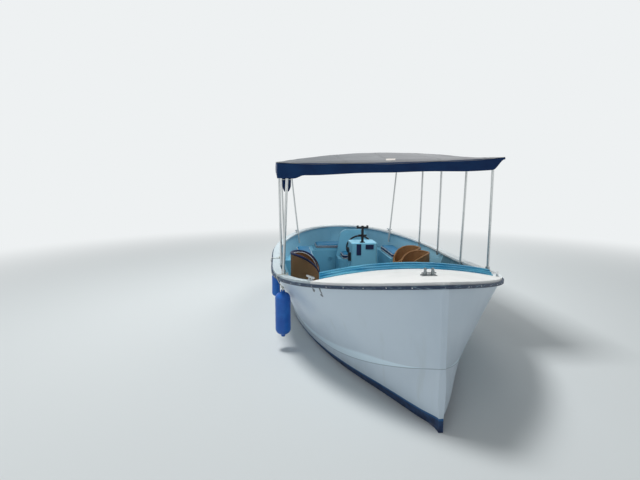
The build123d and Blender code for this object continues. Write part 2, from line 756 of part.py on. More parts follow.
with BuildPart() as canopy_valance:
    with BuildSketch(Plane.XY.offset(valance_bottom)):
        for inset, mode in ((valance_inset, Mode.ADD), (valance_inset + valance_thickness, Mode.SUBTRACT)):
            ends = (canopy_table[0][0] + inset, canopy_table[-1][0] - inset)
            points = [(along(clamp(row[0], *ends)), row[1] - inset) for row in canopy_table]
            with BuildLine():
                Polyline(*points, *[(x, -y) for x, y in reversed(points)], close=True)
            make_face(mode=mode)
    extrude(amount=valance_reach)
    add(canopy_space.part, mode=Mode.SUBTRACT)
canopy_valance.part.locate(canopy_frame)
finish(canopy_valance, "canopy_valance")


def canopy_underside(s, y):
    _, half, edge_z, crown = between(canopy_table, s)
    return edge_z + arc_height(half, crown, y)


def leaned(x, y, z):
    lean = radians(canopy_lean)
    rise = z - canopy_pivot
    return x, y * cos(lean) - rise * sin(lean), canopy_pivot + y * sin(lean) + rise * cos(lean)


def hoop_points(side, foot_s, top_s, inset, drop):
    """Corners of a hoop on one side, port +1: its foot, its eave and half of its crown."""
    top_y = between(canopy_table, top_s)[1] - inset
    crown_y = top_y / 2
    seat = tube_radius + canopy_seat
    # The cloth falls away steeply ahead of the first hoop, so the tube lies lower under its slope
    slope = (canopy_underside(top_s, 0) - canopy_underside(top_s - tube_radius, 0)) / tube_radius
    under = tube_radius * sqrt(1 + slope ** 2) + canopy_seat
    eave = leaned(along(top_s), side * top_y, canopy_underside(top_s, top_y) - under)
    crown = leaned(along(top_s), side * crown_y, canopy_underside(top_s, crown_y) - under)
    scale = sqrt(1 + sheer_slope(foot_s) ** 2)
    rim_y = side * (sheer_breadth(foot_s) - ((cap_width + seat + 1) * scale if drop else cap_width / 2))
    rim_z = sheer_height(foot_s)
    sink = drop if drop else -4
    down = sink / (eave[2] - rim_z)
    foot = (along(foot_s + (foot_s - top_s) * down), rim_y + (rim_y - eave[1]) * down, rim_z - sink)
    return [foot, eave, crown]


for number, hoop_row in enumerate(hoop_table, 1):
    port_side = hoop_points(1, *hoop_row)
    starboard_side = hoop_points(-1, *hoop_row)
    with BuildPart() as canopy_hoop:
        with BuildLine() as hoop_line:
            FilletPolyline(*port_side, *reversed(starboard_side),
                           radius=[hoop_corner, hoop_crown_radius, hoop_crown_radius, hoop_corner])
        with BuildSketch(Plane(origin=hoop_line.line @ 0, z_dir=hoop_line.line % 0)):
            Circle(tube_radius)
        sweep(path=hoop_line.line)
    finish(canopy_hoop, f"canopy_hoop_{number}")

with BuildPart() as hoop_sockets:
    for hoop_row in hoop_table:
        drop = hoop_row[3]
        for side in (1, -1):
            foot, eave, _ = [Vector(*point) for point in hoop_points(side, *hoop_row)]
            rise = (eave - foot).normalized()
            start = foot + rise * ((drop - cap_thickness + 1) / rise.Z) if drop else foot
            with BuildSketch(Plane(origin=start, z_dir=rise)):
                Circle(tube_radius + socket_wall)
                Circle(tube_radius + bearing_gap, mode=Mode.SUBTRACT)
            extrude(amount=cap_thickness - 2 if drop else 40)
    add(gunwale_cap.part, mode=Mode.SUBTRACT)
finish(hoop_sockets, "hoop_sockets")

# Side curtain, rolled up inside the starboard hoops
leg_breadths = []
for hoop_row in hoop_table[1:3]:
    foot, eave, _ = hoop_points(-1, *hoop_row)
    leg_breadths.append(-foot[1] - (eave[1] - foot[1]) * (curtain_z - foot[2]) / (eave[2] - foot[2]))
curtain_y = min(leg_breadths) - tube_radius - curtain_radius - soft_gap
with BuildPart() as rolled_curtain:
    with BuildSketch(station_plane(curtain_s[1])):
        with Locations((-curtain_y, curtain_z)):
            Circle(curtain_radius)
    extrude(amount=curtain_s[1] - curtain_s[0])
    end_x = along(curtain_s[0] + curtain_radius)
    with BuildSketch(Plane.XZ.offset(curtain_y)):
        with BuildLine():
            Polyline((end_x, curtain_end_table[0][1]), *[(end_x + r, z) for r, z in curtain_end_table],
                     (end_x, curtain_end_table[-1][1]), close=True)
        make_face()
    revolve(axis=Axis((end_x, -curtain_y, 0), (0, 0, 1)))
finish(rolled_curtain, "rolled_curtain")

# Mooring bitt on the foredeck and cleats on the cap
bitt_z = sheer_height(bitt_s) + deck_crown(bitt_s)
with BuildPart() as bow_bitt:
    with Locations((along(bitt_s), 0, bitt_z)):
        Box(bitt_base[0], bitt_base[1], 2 * bitt_base[2])
    for post_y in (-bitt_spacing / 2, bitt_spacing / 2):
        with BuildSketch(Plane.XY.offset(bitt_z)):
            with Locations((along(bitt_s), post_y)):
                Circle(bitt_post_radius)
        extrude(amount=bitt_post_height)
        with BuildSketch(Plane.XY.offset(bitt_z + bitt_post_height)):
            with Locations((along(bitt_s), post_y)):
                Circle(bitt_head_radius)
        extrude(amount=bitt_head_height)
    with BuildSketch(Plane.XZ):
        with Locations((along(bitt_s), bitt_z + bitt_bar_height)):
            Circle(bitt_bar_radius)
    extrude(amount=bitt_base[1] / 2, both=True)
    add(foredeck.part, mode=Mode.SUBTRACT)
finish(bow_bitt, "bow_bitt")

with BuildPart() as mooring_cleats:
    for s, inset in cleat_table:
        slope = degrees(atan2(-sheer_slope(s), 1))
        for sign in (1, -1):
            base = Plane(origin=(along(s), sign * (sheer_breadth(s) - inset), sheer_height(s)),
                         x_dir=(cos(radians(slope)), sign * sin(radians(slope)), 0))
            with BuildSketch(base):
                RectangleRounded(70, 30, 8)
            extrude(amount=8)
            with BuildSketch(base):
                with Locations((-20, 0), (20, 0)):
                    Circle(7)
            extrude(amount=30)
            with BuildSketch(base.offset(28)):
                SlotOverall(cleat_length, 16)
            extrude(amount=12)
    add(gunwale_cap.part, mode=Mode.SUBTRACT)
finish(mooring_cleats, "mooring_cleats")

# Fenders, each with its lanyard up over the gunwale
for name, s, y, low_z, length, radius in fender_table:
    end = radius * 0.75
    eye_radius = radius * 0.28
    with BuildPart() as fender:
        with BuildSketch(Plane.XZ):
            with BuildLine():
                Polyline((0, 0), (eye_radius, 0), (eye_radius, end * 0.4))
                Spline((eye_radius, end * 0.4), (radius * 0.82, end * 0.85), (radius, end * 1.5),
                       tangents=[(1, 0.4), (0, 1)])
                Line((radius, end * 1.5), (radius, length - end * 1.5))
                Spline((radius, length - end * 1.5), (radius * 0.82, length - end * 0.85),
                       (eye_radius, length - end * 0.4), tangents=[(0, 1), (-1, 0.4)])
                Polyline((eye_radius, length - end * 0.4), (eye_radius, length), (0, length), (0, 0))
            make_face()
        revolve(axis=Axis.Z)
    fender.part.locate(Location((along(s), y, low_z)))
    finish(fender, name)
    side_y = -sheer_breadth(s)
    outside_y = min(side_y - rail_depth * 1.08, y) - lanyard_radius - 2 * soft_gap
    cap_z = sheer_height(s) + lanyard_radius + soft_gap
    with BuildPart() as lanyard:
        with BuildLine() as lanyard_line:
            FilletPolyline((along(s), y, low_z + length + lanyard_radius / 2),
                           (along(s), outside_y, cap_z - 45), (along(s), outside_y, cap_z),
                           (along(s), side_y + cap_width - 10, cap_z), radius=10)
        with BuildSketch(Plane(origin=lanyard_line.line @ 0, z_dir=lanyard_line.line % 0)):
            Circle(lanyard_radius)
        sweep(path=lanyard_line.line)
    finish(lanyard, name.replace("fender", "lanyard"))
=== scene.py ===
import bpy
import bmesh
import json
import math
import random
import numpy as np
from mathutils import Matrix, Vector
from mathutils.bvhtree import BVHTree


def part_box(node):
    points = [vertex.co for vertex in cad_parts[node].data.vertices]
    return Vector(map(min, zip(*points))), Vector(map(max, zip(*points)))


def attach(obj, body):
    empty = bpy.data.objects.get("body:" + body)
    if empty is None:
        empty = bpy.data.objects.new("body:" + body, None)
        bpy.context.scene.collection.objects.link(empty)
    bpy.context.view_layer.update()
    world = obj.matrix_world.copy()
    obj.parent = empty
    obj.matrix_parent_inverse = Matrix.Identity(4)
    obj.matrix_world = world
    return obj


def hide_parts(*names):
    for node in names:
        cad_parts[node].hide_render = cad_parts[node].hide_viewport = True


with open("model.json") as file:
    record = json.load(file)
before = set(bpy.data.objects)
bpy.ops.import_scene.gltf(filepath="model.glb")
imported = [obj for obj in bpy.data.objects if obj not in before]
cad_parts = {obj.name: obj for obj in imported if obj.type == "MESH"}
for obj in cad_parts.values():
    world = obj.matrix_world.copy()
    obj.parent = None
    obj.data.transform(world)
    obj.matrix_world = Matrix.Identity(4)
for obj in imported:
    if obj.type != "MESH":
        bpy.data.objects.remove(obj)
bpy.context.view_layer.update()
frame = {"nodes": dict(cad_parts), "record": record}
nodes = frame["nodes"]
hullLength = 5.35  # metres over the hull; x = hullLength / 2 - s, with s aft of the stem
print("frame loaded:", len(nodes), "nodes")


def along(s):
    return hullLength / 2 - s


def colour(text):  # web colour to the linear values that shaders use
    parts = [int(text[i:i + 2], 16) / 255 for i in (0, 2, 4)]
    return tuple(p / 12.92 if p <= 0.04045 else ((p + 0.055) / 1.055) ** 2.4 for p in parts) + (1.0,)


# ---- shader maths: a socket that takes Python's operators

class Wire:
    def __init__(self, finish, link):
        self.finish, self.link = finish, link

    def maths(self, kind, *others, swap=False):
        values = [self, *others]
        if swap:
            values.reverse()
        return self.finish.node("ShaderNodeMath", {"operation": kind}, dict(enumerate(values)))

    def __add__(self, other): return self.maths("ADD", other)
    def __radd__(self, other): return self.maths("ADD", other)
    def __sub__(self, other): return self.maths("SUBTRACT", other)
    def __rsub__(self, other): return self.maths("SUBTRACT", other, swap=True)
    def __mul__(self, other): return self.maths("MULTIPLY", other)
    def __rmul__(self, other): return self.maths("MULTIPLY", other)
    def __truediv__(self, other): return self.maths("DIVIDE", other)
    def __pow__(self, other): return self.maths("POWER", other)
    def sin(self): return self.maths("SINE")
    def abs(self): return self.maths("ABSOLUTE")
    def low(self, other): return self.maths("MINIMUM", other)

    def follow(self, table):  # straight runs through (input, output) pairs
        low, high = table[0][0], table[-1][0]
        base, span = min(v for k, v in table), max(v for k, v in table) - min(v for k, v in table)
        curve = self.finish.node("ShaderNodeFloatCurve", {}, {"Value": (self - low) / (high - low)})
        points = curve.link.node.mapping.curves[0].points
        while len(points) < len(table):
            points.new(0.5, 0.5)
        for point, (key, value) in zip(points, table):
            point.location, point.handle_type = ((key - low) / (high - low), (value - base) / span), "VECTOR"
        curve.link.node.mapping.update()
        return curve * span + base

    def step(self, start, end, first=0.0, last=1.0):  # smooth ramp from start to end
        return self.finish.node("ShaderNodeMapRange", {"interpolation_type": "SMOOTHSTEP"},
                                {0: self, 1: start, 2: end, 3: first, 4: last})


class Finish:
    def __init__(self, name, **fixed):
        self.material = bpy.data.materials.new(name)
        self.material.use_nodes = True
        self.tree = self.material.node_tree
        self.shader = self.tree.nodes["Principled BSDF"]
        for key, value in fixed.items():
            self.shader.inputs[key.replace("_", " ")].default_value = value
        self.place = self.node("ShaderNodeTexCoord", out="Object")

    def node(self, kind, settings=None, inputs=None, out=0):
        made = self.tree.nodes.new(kind)
        for key, value in (settings or {}).items():
            setattr(made, key, value)
        for key, value in (inputs or {}).items():
            if isinstance(value, Wire):
                self.tree.links.new(value.link, made.inputs[key])
            else:
                made.inputs[key].default_value = colour(value) if isinstance(value, str) else value
        return Wire(self, made.outputs[out])

    def axes(self, vector=None):
        split = self.node("ShaderNodeSeparateXYZ", inputs={0: vector or self.place})
        outs = split.link.node.outputs
        return Wire(self, outs[0]), Wire(self, outs[1]), Wire(self, outs[2])

    def scaled(self, size, vector=None):
        return self.node("ShaderNodeMapping", inputs={"Vector": vector or self.place, "Scale": size})

    def noise(self, scale, detail=3.0, vector=None, rough=0.5):
        return self.node("ShaderNodeTexNoise", inputs={"Vector": vector or self.place, "Scale": scale,
                                                       "Detail": detail, "Roughness": rough})

    def mix(self, factor, first, last, kind="MIX"):
        return self.node("ShaderNodeMix", {"data_type": "RGBA", "blend_type": kind},
                         {0: factor, 6: first, 7: last}, out=2)

    def bump(self, height, distance, strength=1.0, under=None):
        inputs = {"Height": height, "Distance": distance, "Strength": strength}
        if under:
            inputs["Normal"] = under
        return self.node("ShaderNodeBump", inputs=inputs)

    def feed(self, **links):
        for key, value in links.items():
            self.tree.links.new(value.link, self.shader.inputs[key.replace("_", " ")])
        return self.material


def skinOf(mesh):  # a surface that rays can be cast on
    return BVHTree.FromPolygons([v.co for v in mesh.vertices], [p.vertices for p in mesh.polygons])


def boxOf(node):
    return [Vector(corner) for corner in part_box(node)]


def coat(mesh, material):
    mesh.materials.clear()
    mesh.materials.append(material)


def dress(name, material):
    coat(nodes[name].data, material)
    for face in nodes[name].data.polygons:
        face.material_index = 0


# ---- finishes

hullLook = {"white": "c6d4e0", "cloud": "b3c4d3", "grime": "a9b3ae", "band": "dff3ff", "crease": "5d7280",
            "scum": "84938f", "scuff": "2a3138", "bottom": "0c2345", "slime": "173a63",
            "bootLine": "1d5586", "bootAft": 0.012, "bootRise": 0.085,
            # inside colours: the white gelcoat painted darker and bluer, as painted shade
            "inside": "8cc3da", "insideShadeAndStain": "6ba4bc",
            # each scuff's x, z and half its width and height
            "scuffs": [(1.873, 0.783, 0.010, 0.016), (1.867, 0.756, 0.008, 0.022),
                       (1.856, 0.722, 0.014, 0.012), (1.785, 0.752, 0.014, 0.012),
                       (1.775, 0.738, 0.009, 0.009), (1.538, 0.733, 0.011, 0.009)]}


def hullCrease():  # height of the knuckle along the hull, read off the CAD node
    skin = skinOf(nodes["hull"].data)
    table = []
    for x in np.linspace(-2.45, 2.55, 41):
        guess = 0.083 + 0.053 * max(0.0, x - 0.5) ** 2.43 + 0.037 * max(0.0, -x - 0.6) ** 2.05
        heights = np.arange(guess - 0.05, guess + 0.05, 0.003)
        widths = []
        for z in heights:
            hit = skin.ray_cast(Vector((float(x), 3.0, float(z))), Vector((0, -1, 0)))[0]
            widths.append(hit.y if hit else 0.0)
        bend = np.abs(np.diff(np.diff(widths)))
        table.append((float(x), float(heights[int(np.argmax(bend)) + 1])))
    return table


def hullGelcoat():
    f = Finish("hullGelcoat", Roughness=0.32, Specular_IOR_Level=0.5)
    x, y, z = f.axes()
    cloudy = f.noise(1.7, 4)
    streak = f.noise(9.0, 5, f.scaled((1.0, 1.0, 0.12)))
    base = f.mix(cloudy.step(0.42, 0.66) * 0.4, hullLook["white"], hullLook["cloud"])
    base = f.mix(streak.step(0.55, 0.72) * z.step(0.9, 0.05) * 0.30, base, hullLook["grime"])
    above = z - x.follow(hullCrease())
    # painted reflection: a lighter band just above the knuckle, on the forward hull
    reach = x.step(2.62, 1.9) * 0.075 + 0.002
    band = above.step(-0.001, 0.003) * (above / reach).step(1.15, 0.75) * x.step(0.1, 0.9)
    base = f.mix(band * 0.80, base, hullLook["band"])
    # painted shadow: a dark line along the knuckle
    base = f.mix(above.abs().step(0.0045, 0.0015) * 0.55, base, hullLook["crease"])
    wet = z.step(0.16, 0.02) * f.noise(14.0, 4).step(0.30, 0.62)  # weed and scum just over the waterline
    base = f.mix(wet * 0.35, base, hullLook["scum"])
    marks = 0.0
    for scuffX, scuffZ, wide, tall in hullLook["scuffs"]:
        reach = ((x - scuffX) / wide) ** 2 + ((z - scuffZ) / tall) ** 2
        marks = (reach ** 0.5).step(1.3, 0.8) * y.step(-0.4, -0.5) + marks
    torn = f.noise(70.0, 3).step(0.26, 0.40)
    base = f.mix((marks * torn).low(1.0) * 0.85, base, hullLook["scuff"])
    edge = hullLook["bootAft"] + x.step(0.2, 2.5) * hullLook["bootRise"] + (f.noise(5.0, 2) - 0.5) * 0.006
    painted = (z - edge).step(0.002, -0.002)
    slime = f.mix(f.noise(22.0, 5).step(0.35, 0.7), hullLook["bottom"], hullLook["slime"])
    slime = f.mix((z - edge).step(-0.022, -0.012), slime, hullLook["bootLine"])
    base = f.mix(painted, base, slime)
    bump = f.bump(f.noise(2.2, 2) * 1.0 + f.noise(160.0, 2) * 0.02, 0.004, 0.25)
    return f.feed(Base_Color=base, Roughness=0.30 + painted * 0.28 + cloudy * 0.10, Normal=bump)


def dressInside(name, material):  # faces of a shell that look inwards get a second finish: the same gelcoat, darker and bluer, as painted shade
    mesh = nodes[name].data
    mesh.materials.append(material)
    for face in mesh.polygons:
        ahead = Vector((face.center.x - min(max(face.center.x, -2.0), 1.6), face.center.y, 0.0))
        if ahead.length > 0.001 and face.normal.dot(ahead) < -0.02 * ahead.length:
            face.material_index = 1


def gelcoat(name, tint, stain, roughness=0.34, gritty=0.0, paintedStarboardShade=0.0):
    f = Finish(name, Specular_IOR_Level=0.5)
    x, y, z = f.axes()
    cloud = f.noise(3.0, 4)
    dirt = f.noise(26.0, 6, rough=0.65)
    base = f.mix(cloud.step(0.40, 0.70) * 0.25, tint, stain)
    base = f.mix(dirt.step(0.60, 0.78) * 0.30, base, stain)
    if paintedStarboardShade:  # painted shade: the starboard side is darkened towards the stain colour, broken up by dirt noise
        base = f.mix(y.step(-0.1, -0.8) * (0.7 + dirt * 0.6) * paintedStarboardShade, base, stain)
    wear = f.noise(140.0, 3)
    height = f.noise(420.0, 1) * gritty + wear * 0.10 + f.noise(6.0, 2) * 0.6
    return f.feed(Base_Color=base, Roughness=roughness + dirt * 0.18 + wear.step(0.5, 0.9) * 0.08,
                  Normal=f.bump(height, 0.0012, 0.35 + 0.4 * gritty))


soleLook = {"tint": "8fb0ba", "dirt": "64808a", "tread": "a5c3cb", "pitch": 210.0}
coamingLook = {"tint": "2a84ad", "stripe": "5db0cd", "faded": "8cc0d4", "grain": "1b5278"}
railLook = {"tint": "25364f", "scraped": "6c8291", "salt": "c9d3d6"}


def nonSlip():
    f = Finish("soleNonSlip", Specular_IOR_Level=0.4)
    x, y, z = f.axes()
    rows = ((x * soleLook["pitch"]).sin() * (y * soleLook["pitch"]).sin()).step(0.05, 0.5)
    dirt = f.noise(7.0, 6, rough=0.6)
    base = f.mix(dirt.step(0.35, 0.75) * 0.6, soleLook["tint"], soleLook["dirt"])
    base = f.mix(rows * 0.25, base, soleLook["tread"])
    return f.feed(Base_Color=base, Roughness=0.62 + dirt * 0.2, Normal=f.bump(rows, 0.001, 0.5))


def coamingStripes():
    f = Finish("coamingBlue", Specular_IOR_Level=0.45)
    fade = f.noise(4.0, 4)
    grain = f.noise(60.0, 4, f.scaled((6.0, 1.0, 6.0)))
    band = f.noise(1.0, 1, f.scaled((38.0, 0.6, 38.0)))
    base = f.mix(band.step(0.40, 0.60), coamingLook["tint"], coamingLook["stripe"])
    base = f.mix(fade.step(0.4, 0.8) * 0.4, base, coamingLook["faded"])
    base = f.mix(grain.step(0.62, 0.75) * 0.4, base, coamingLook["grain"])
    return f.feed(Base_Color=base, Roughness=0.42 + fade * 0.2,
                  Normal=f.bump(grain + band * 0.5, 0.0012, 0.4))


def railRubber():
    f = Finish("railRubber", Specular_IOR_Level=0.45)
    scrape = f.noise(16.0, 5, f.scaled((1.0, 1.0, 9.0)))
    salt = f.noise(45.0, 4)
    base = f.mix(scrape.step(0.50, 0.72), railLook["tint"], railLook["scraped"])
    base = f.mix(salt.step(0.66, 0.76) * 0.6, base, railLook["salt"])
    return f.feed(Base_Color=base, Roughness=0.42 + scrape * 0.35,
                  Normal=f.bump(scrape + salt * 0.3, 0.0015, 0.5))


def metal(name, tint, shade, roughness, grain=(40.0, 40.0, 2.0), tarnish=0.3):
    f = Finish(name, Metallic=1.0)
    lines = f.noise(12.0, 4, f.scaled(grain))
    spots = f.noise(30.0, 5, rough=0.7)
    base = f.mix(lines.step(0.35, 0.7) * 0.4, tint, shade)
    base = f.mix(spots.step(0.62, 0.74) * tarnish, base, "6b6a63")  # dull salt spots
    return f.feed(Base_Color=base, Roughness=roughness + lines * 0.12 + spots.step(0.55, 0.8) * 0.2,
                  Normal=f.bump(lines, 0.0004, 0.25))


def paint(name, tint, shade, roughness=0.45):
    f = Finish(name, Specular_IOR_Level=0.5)
    cloud = f.noise(8.0, 5)
    chips = f.noise(90.0, 3)
    base = f.mix(cloud.step(0.35, 0.75), tint, shade)
    return f.feed(Base_Color=base, Roughness=roughness + cloud * 0.15 + chips * 0.06,
                  Normal=f.bump(chips + cloud, 0.0008, 0.3))


clothLook = {"threads": 2600.0, "stitches": 900.0, "seam": 0.012, "thread": "c8c8c0", "patch": "e6dfd8"}


def canvas(name, tint, faded, stain, seams=(), patch=None, upright=False, paintedShadeToStarboard=0.0):
    f = Finish(name, Roughness=0.85, Specular_IOR_Level=0.25, Sheen_Weight=0.12, Sheen_Roughness=0.5)
    if upright:  # no UVs: the weave runs fore and aft, and up
        x, y, z = f.axes()
        u, v = x, z
        cloth = f.node("ShaderNodeCombineXYZ", inputs={0: x, 1: z})
    else:
        cloth = f.node("ShaderNodeTexCoord", out="UV")
        u, v, none = f.axes(cloth)
    threads = (u * clothLook["threads"]).sin() * (v * clothLook["threads"]).sin()
    slub = f.noise(240.0, 3, f.scaled((1.0, 12.0, 1.0), cloth))
    fade = f.noise(1.6, 5, cloth, 0.6)
    dirt = f.noise(9.0, 6, cloth, 0.65)
    base = f.mix(fade.step(0.36, 0.68) * 0.75, tint, faded)
    base = f.mix(dirt.step(0.56, 0.76) * 0.35, base, stain)
    base = f.mix(slub.step(0.4, 0.7) * 0.15, base, faded)
    if paintedShadeToStarboard:  # painted shade: the starboard side is darkened towards the stain colour
        base = f.mix(v.step(0.55, -0.85) * paintedShadeToStarboard, base, stain)
    height = threads * 0.25 + slub * 0.4
    wide = clothLook["seam"]
    for position in seams:  # felled seams along the cloth, each with two rows of stitching
        away = (v - position).abs()
        row = (u * clothLook["stitches"]).sin().step(-0.2, 0.4)
        stitch = (away - wide * 0.55).abs().step(0.0012, 0.0004) * row
        height = height + away.step(wide, wide * 0.7) * 2.5 - stitch * 1.5
        base = f.mix(away.step(wide * 1.7, wide) * 0.30, base, stain)
        base = f.mix(stitch * 0.7, base, clothLook["thread"])
    if patch:  # a lighter slanted rectangle, raised in the bump: middle, half sizes and slant
        middleU, middleV, halfU, halfV, slant = patch
        du, dv = u - middleU, v - middleV - (u - middleU) * slant
        inside = du.abs().step(halfU, halfU - 0.004) * dv.abs().step(halfV, halfV - 0.004)
        base = f.mix(inside * 0.85, base, clothLook["patch"])
        height = height + inside * 1.5
    return f.feed(Base_Color=base, Roughness=0.80 + dirt * 0.12, Normal=f.bump(height, 0.0008, 0.5))


vinylLook = {"crease": "20344a", "border": ("0d2247", "1a3763"), "cushion": ("17719f", "3687af")}


def vinyl(name, tint, worn, roughness=0.40, grain=900.0, borderBelow=None):
    f = Finish(name, Specular_IOR_Level=0.5)
    cells = f.node("ShaderNodeTexVoronoi", inputs={"Vector": f.place, "Scale": grain})
    soft = f.noise(6.0, 5, rough=0.6)
    crease = f.noise(28.0, 5, rough=0.6)
    base = f.mix(soft.step(0.35, 0.72) * 0.7, tint, worn)
    base = f.mix(crease.step(0.60, 0.74) * 0.25, base, vinylLook["crease"])
    if borderBelow is not None:  # a darker boxing strip under the top panel's seam
        x, y, z = f.axes()
        strip = f.mix(soft.step(0.35, 0.72), *vinylLook["border"])
        base = f.mix(z.step(borderBelow + 0.001, borderBelow - 0.001), base, strip)
    height = cells * 0.4 + crease * 1.2
    return f.feed(Base_Color=base, Roughness=roughness + soft * 0.14 + crease * 0.08,
                  Normal=f.bump(height, 0.001, 0.35))


finishes = {
    "hull_gelcoat": hullGelcoat(),
    "deck_gelcoat": gelcoat("deckGelcoat", "f1f2f0", "c9cdc9", 0.36, 0.25),
    # bench and console: white gelcoat tinted pale blue, as painted shade
    "bench_gelcoat": gelcoat("benchGelcoat", "74b6d1", "4f8fa9", 0.38),
    "console_gelcoat": gelcoat("consoleGelcoat", "80c2dc", "5e9fb9", 0.35),
    "coaming_trim": coamingStripes(),
    "rub_rail": railRubber(),
    "sole_nonslip": nonSlip(),
    "marine_steel": metal("marineSteel", "cfd2d3", "a7abad", 0.22),
    "pole_aluminium": metal("poleAluminium", "dcdedd", "b4b8b9", 0.30, grain=(60.0, 60.0, 1.0), tarnish=0.5),
    "pedestal_metal": metal("pedestalMetal", "c8cbcc", "9a9e9f", 0.34),
    "propeller_bronze": metal("propellerBronze", "b08a4a", "7d5f33", 0.34, grain=(20.0, 20.0, 20.0)),
    "motor_paint": paint("motorPaint", "5c6366", "454b4e"),
    "rudder_paint": paint("rudderPaint", "17264f", "24406a", 0.55),
    "console_panel": paint("consolePanel", "1a2350", "101733", 0.4),
    "wheel_rim": paint("wheelRim", "1c1f24", "2d3138", 0.35),
    "throttle_black": paint("throttleBlack", "17181c", "2b2d33", 0.4),
    "tub_seat": paint("tubSeat", "8a5634", "5f3a22", 0.5),
    "cushion_vinyl": vinyl("cushionVinyl", *vinylLook["cushion"]),
    "side_panel": canvas("sidePanel", "466f80", "648b9b", "314d59", upright=True),
    # canopy cloth: darkened to starboard as painted shade
    "canopy_cloth": canvas("canopyCloth", "8a8b8e", "a3a5a7", "5f6468", seams=(0.0, 0.43, -0.43, 0.86, -0.86),
                           patch=(0.15, 0.01, 0.11, 0.045, 0.25), paintedShadeToStarboard=0.75),
    "valance_cloth": canvas("valanceCloth", "082650", "133e6b", "051630"),
    "piping": vinyl("cushionPiping", "dfe4e6", "b9c2c6", 0.45),
    "fender_vinyl": vinyl("fenderVinyl", "0a55ad", "2170c6", 0.34, 300.0),
    "lanyard_rope": canvas("lanyardRope", "d6d8d0", "bcc0b6", "8a8f86"),
}
for part in frame["record"]["subparts"]:
    dress(part["node"], finishes[part["material_slot"]])
# the hull's inward faces: painted shade, its stain colour also carrying dirt
dressInside("hull", gelcoat("hullInside", hullLook["inside"], hullLook["insideShadeAndStain"], 0.40))
# cap: darkened to starboard as painted shade
dress("gunwale_cap", gelcoat("capGelcoat", "e9f0f2", "aebfc6", 0.38, 0.2, paintedStarboardShade=0.75))
# bitt: darker metal colour, a painted reflection of dark surroundings
dress("bow_bitt", metal("bittMetal", "8d9497", "5f676c", 0.30))
print("finishes made:", len(finishes))


# ---- mesh helpers

def linked(name, data):  # an object in the scene, at the origin
    made = bpy.data.objects.new(name, data)
    bpy.context.collection.objects.link(made)
    return made


def meshFrom(piece):  # its mesh with every modifier applied
    return bpy.data.meshes.new_from_object(piece.evaluated_get(bpy.context.evaluated_depsgraph_get()))


def meshOf(work, name):
    mesh = bpy.data.meshes.new(name)
    work.to_mesh(mesh)
    work.free()
    return mesh


def fit(piece, node=None, body="boat"):  # its body and the CAD node that it stands for
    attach(piece, body)
    if node:
        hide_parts(node)
    return piece


def turns(count, last=0, whole=2 * math.pi):  # even angles round a circle; last=1 adds the closing one
    return [k / count * whole for k in range(count + last)]


def newPiece(name, vertices, faces, material, smooth=True, uvs=None):
    mesh = bpy.data.meshes.new(name)
    mesh.from_pydata([tuple(v) for v in vertices], [], faces)
    mesh.materials.append(material)
    if uvs is not None:
        layer = mesh.uv_layers.new(name="cloth")
        for loop in mesh.loops:
            layer.data[loop.index].uv = uvs[loop.vertex_index]
    mesh.validate()
    mesh.update()
    if smooth:
        mesh.shade_smooth()
    return linked(name, mesh)


def applyAll(piece):  # turn the live modifiers into plain mesh
    mesh = meshFrom(piece)
    piece.modifiers.clear()
    piece.data = mesh
    return piece


def addModifier(piece, kind, **settings):
    modifier = piece.modifiers.new(kind.title(), kind)
    for key, value in settings.items():
        setattr(modifier, key, value)
    return modifier


def thicken(piece, thickness, offset):
    addModifier(piece, "SOLIDIFY", thickness=thickness, offset=offset)
    return applyAll(piece)


def gridFaces(rows, columns):
    return [(r * columns + c, r * columns + c + 1, (r + 1) * columns + c + 1, (r + 1) * columns + c)
            for r in range(rows - 1) for c in range(columns - 1)]


def bandFaces(rows, around):  # the same, closed round each row
    return [(r * around + c, r * around + (c + 1) % around, (r + 1) * around + (c + 1) % around,
             (r + 1) * around + c) for r in range(rows - 1) for c in range(around)]


def tubePiece(name, path, radius, finish, closed=True, body="boat"):
    curve = bpy.data.curves.new(name, "CURVE")
    curve.dimensions, curve.bevel_depth, curve.bevel_resolution = "3D", radius, 2
    spline = curve.splines.new("POLY")
    spline.points.add(len(path) - 1)
    for point, place in zip(spline.points, path):
        point.co = (*place, 1.0)
    spline.use_cyclic_u = closed
    curve.use_fill_caps = True
    curve.materials.append(finishes[finish])
    made = linked(name, curve)
    mesh = meshFrom(made)
    bpy.data.objects.remove(made)
    mesh.shade_smooth()
    return fit(linked(name, mesh), body=body)


def repairNormals(piece):
    work = bmesh.new()
    work.from_mesh(piece.data)
    bmesh.ops.recalc_face_normals(work, faces=work.faces)
    work.to_mesh(piece.data)
    work.free()
    piece.data.shade_smooth()


# ---- canopy cloth

canopy = {"frontS": 1.45, "endS": 4.9, "hoops": [1.50, 2.30, 3.09, 3.77, 4.64], "rows": 140, "columns": 73,
          "sag": 0.016, "wave": 0.0018, "pull": 0.0012, "under": 0.0035, "inset": 0.002, "thickness": 0.0025,
          "flat": (2.12, 3.45), "area": 6.95}
canopySkin = skinOf(nodes["canopy_top"].data)


def canopyEdge(s):  # half-breadth of the canopy, read off the CAD node
    low, high = 0.5, 1.2
    for step in range(24):
        middle = (low + high) / 2
        if canopySkin.ray_cast(Vector((along(s), middle, 3.0)), Vector((0, 0, -1)))[0] is None:
            high = middle
        else:
            low = middle
    return low


def hoopSag(s):  # 0 over each hoop, 1 midway between two
    stops = [canopy["frontS"] - 0.05] + canopy["hoops"] + [canopy["endS"] + 0.05]
    for first, last in zip(stops, stops[1:]):
        if first <= s <= last:
            return math.sin(math.pi * (s - first) / (last - first)) ** 1.3
    return 0.0


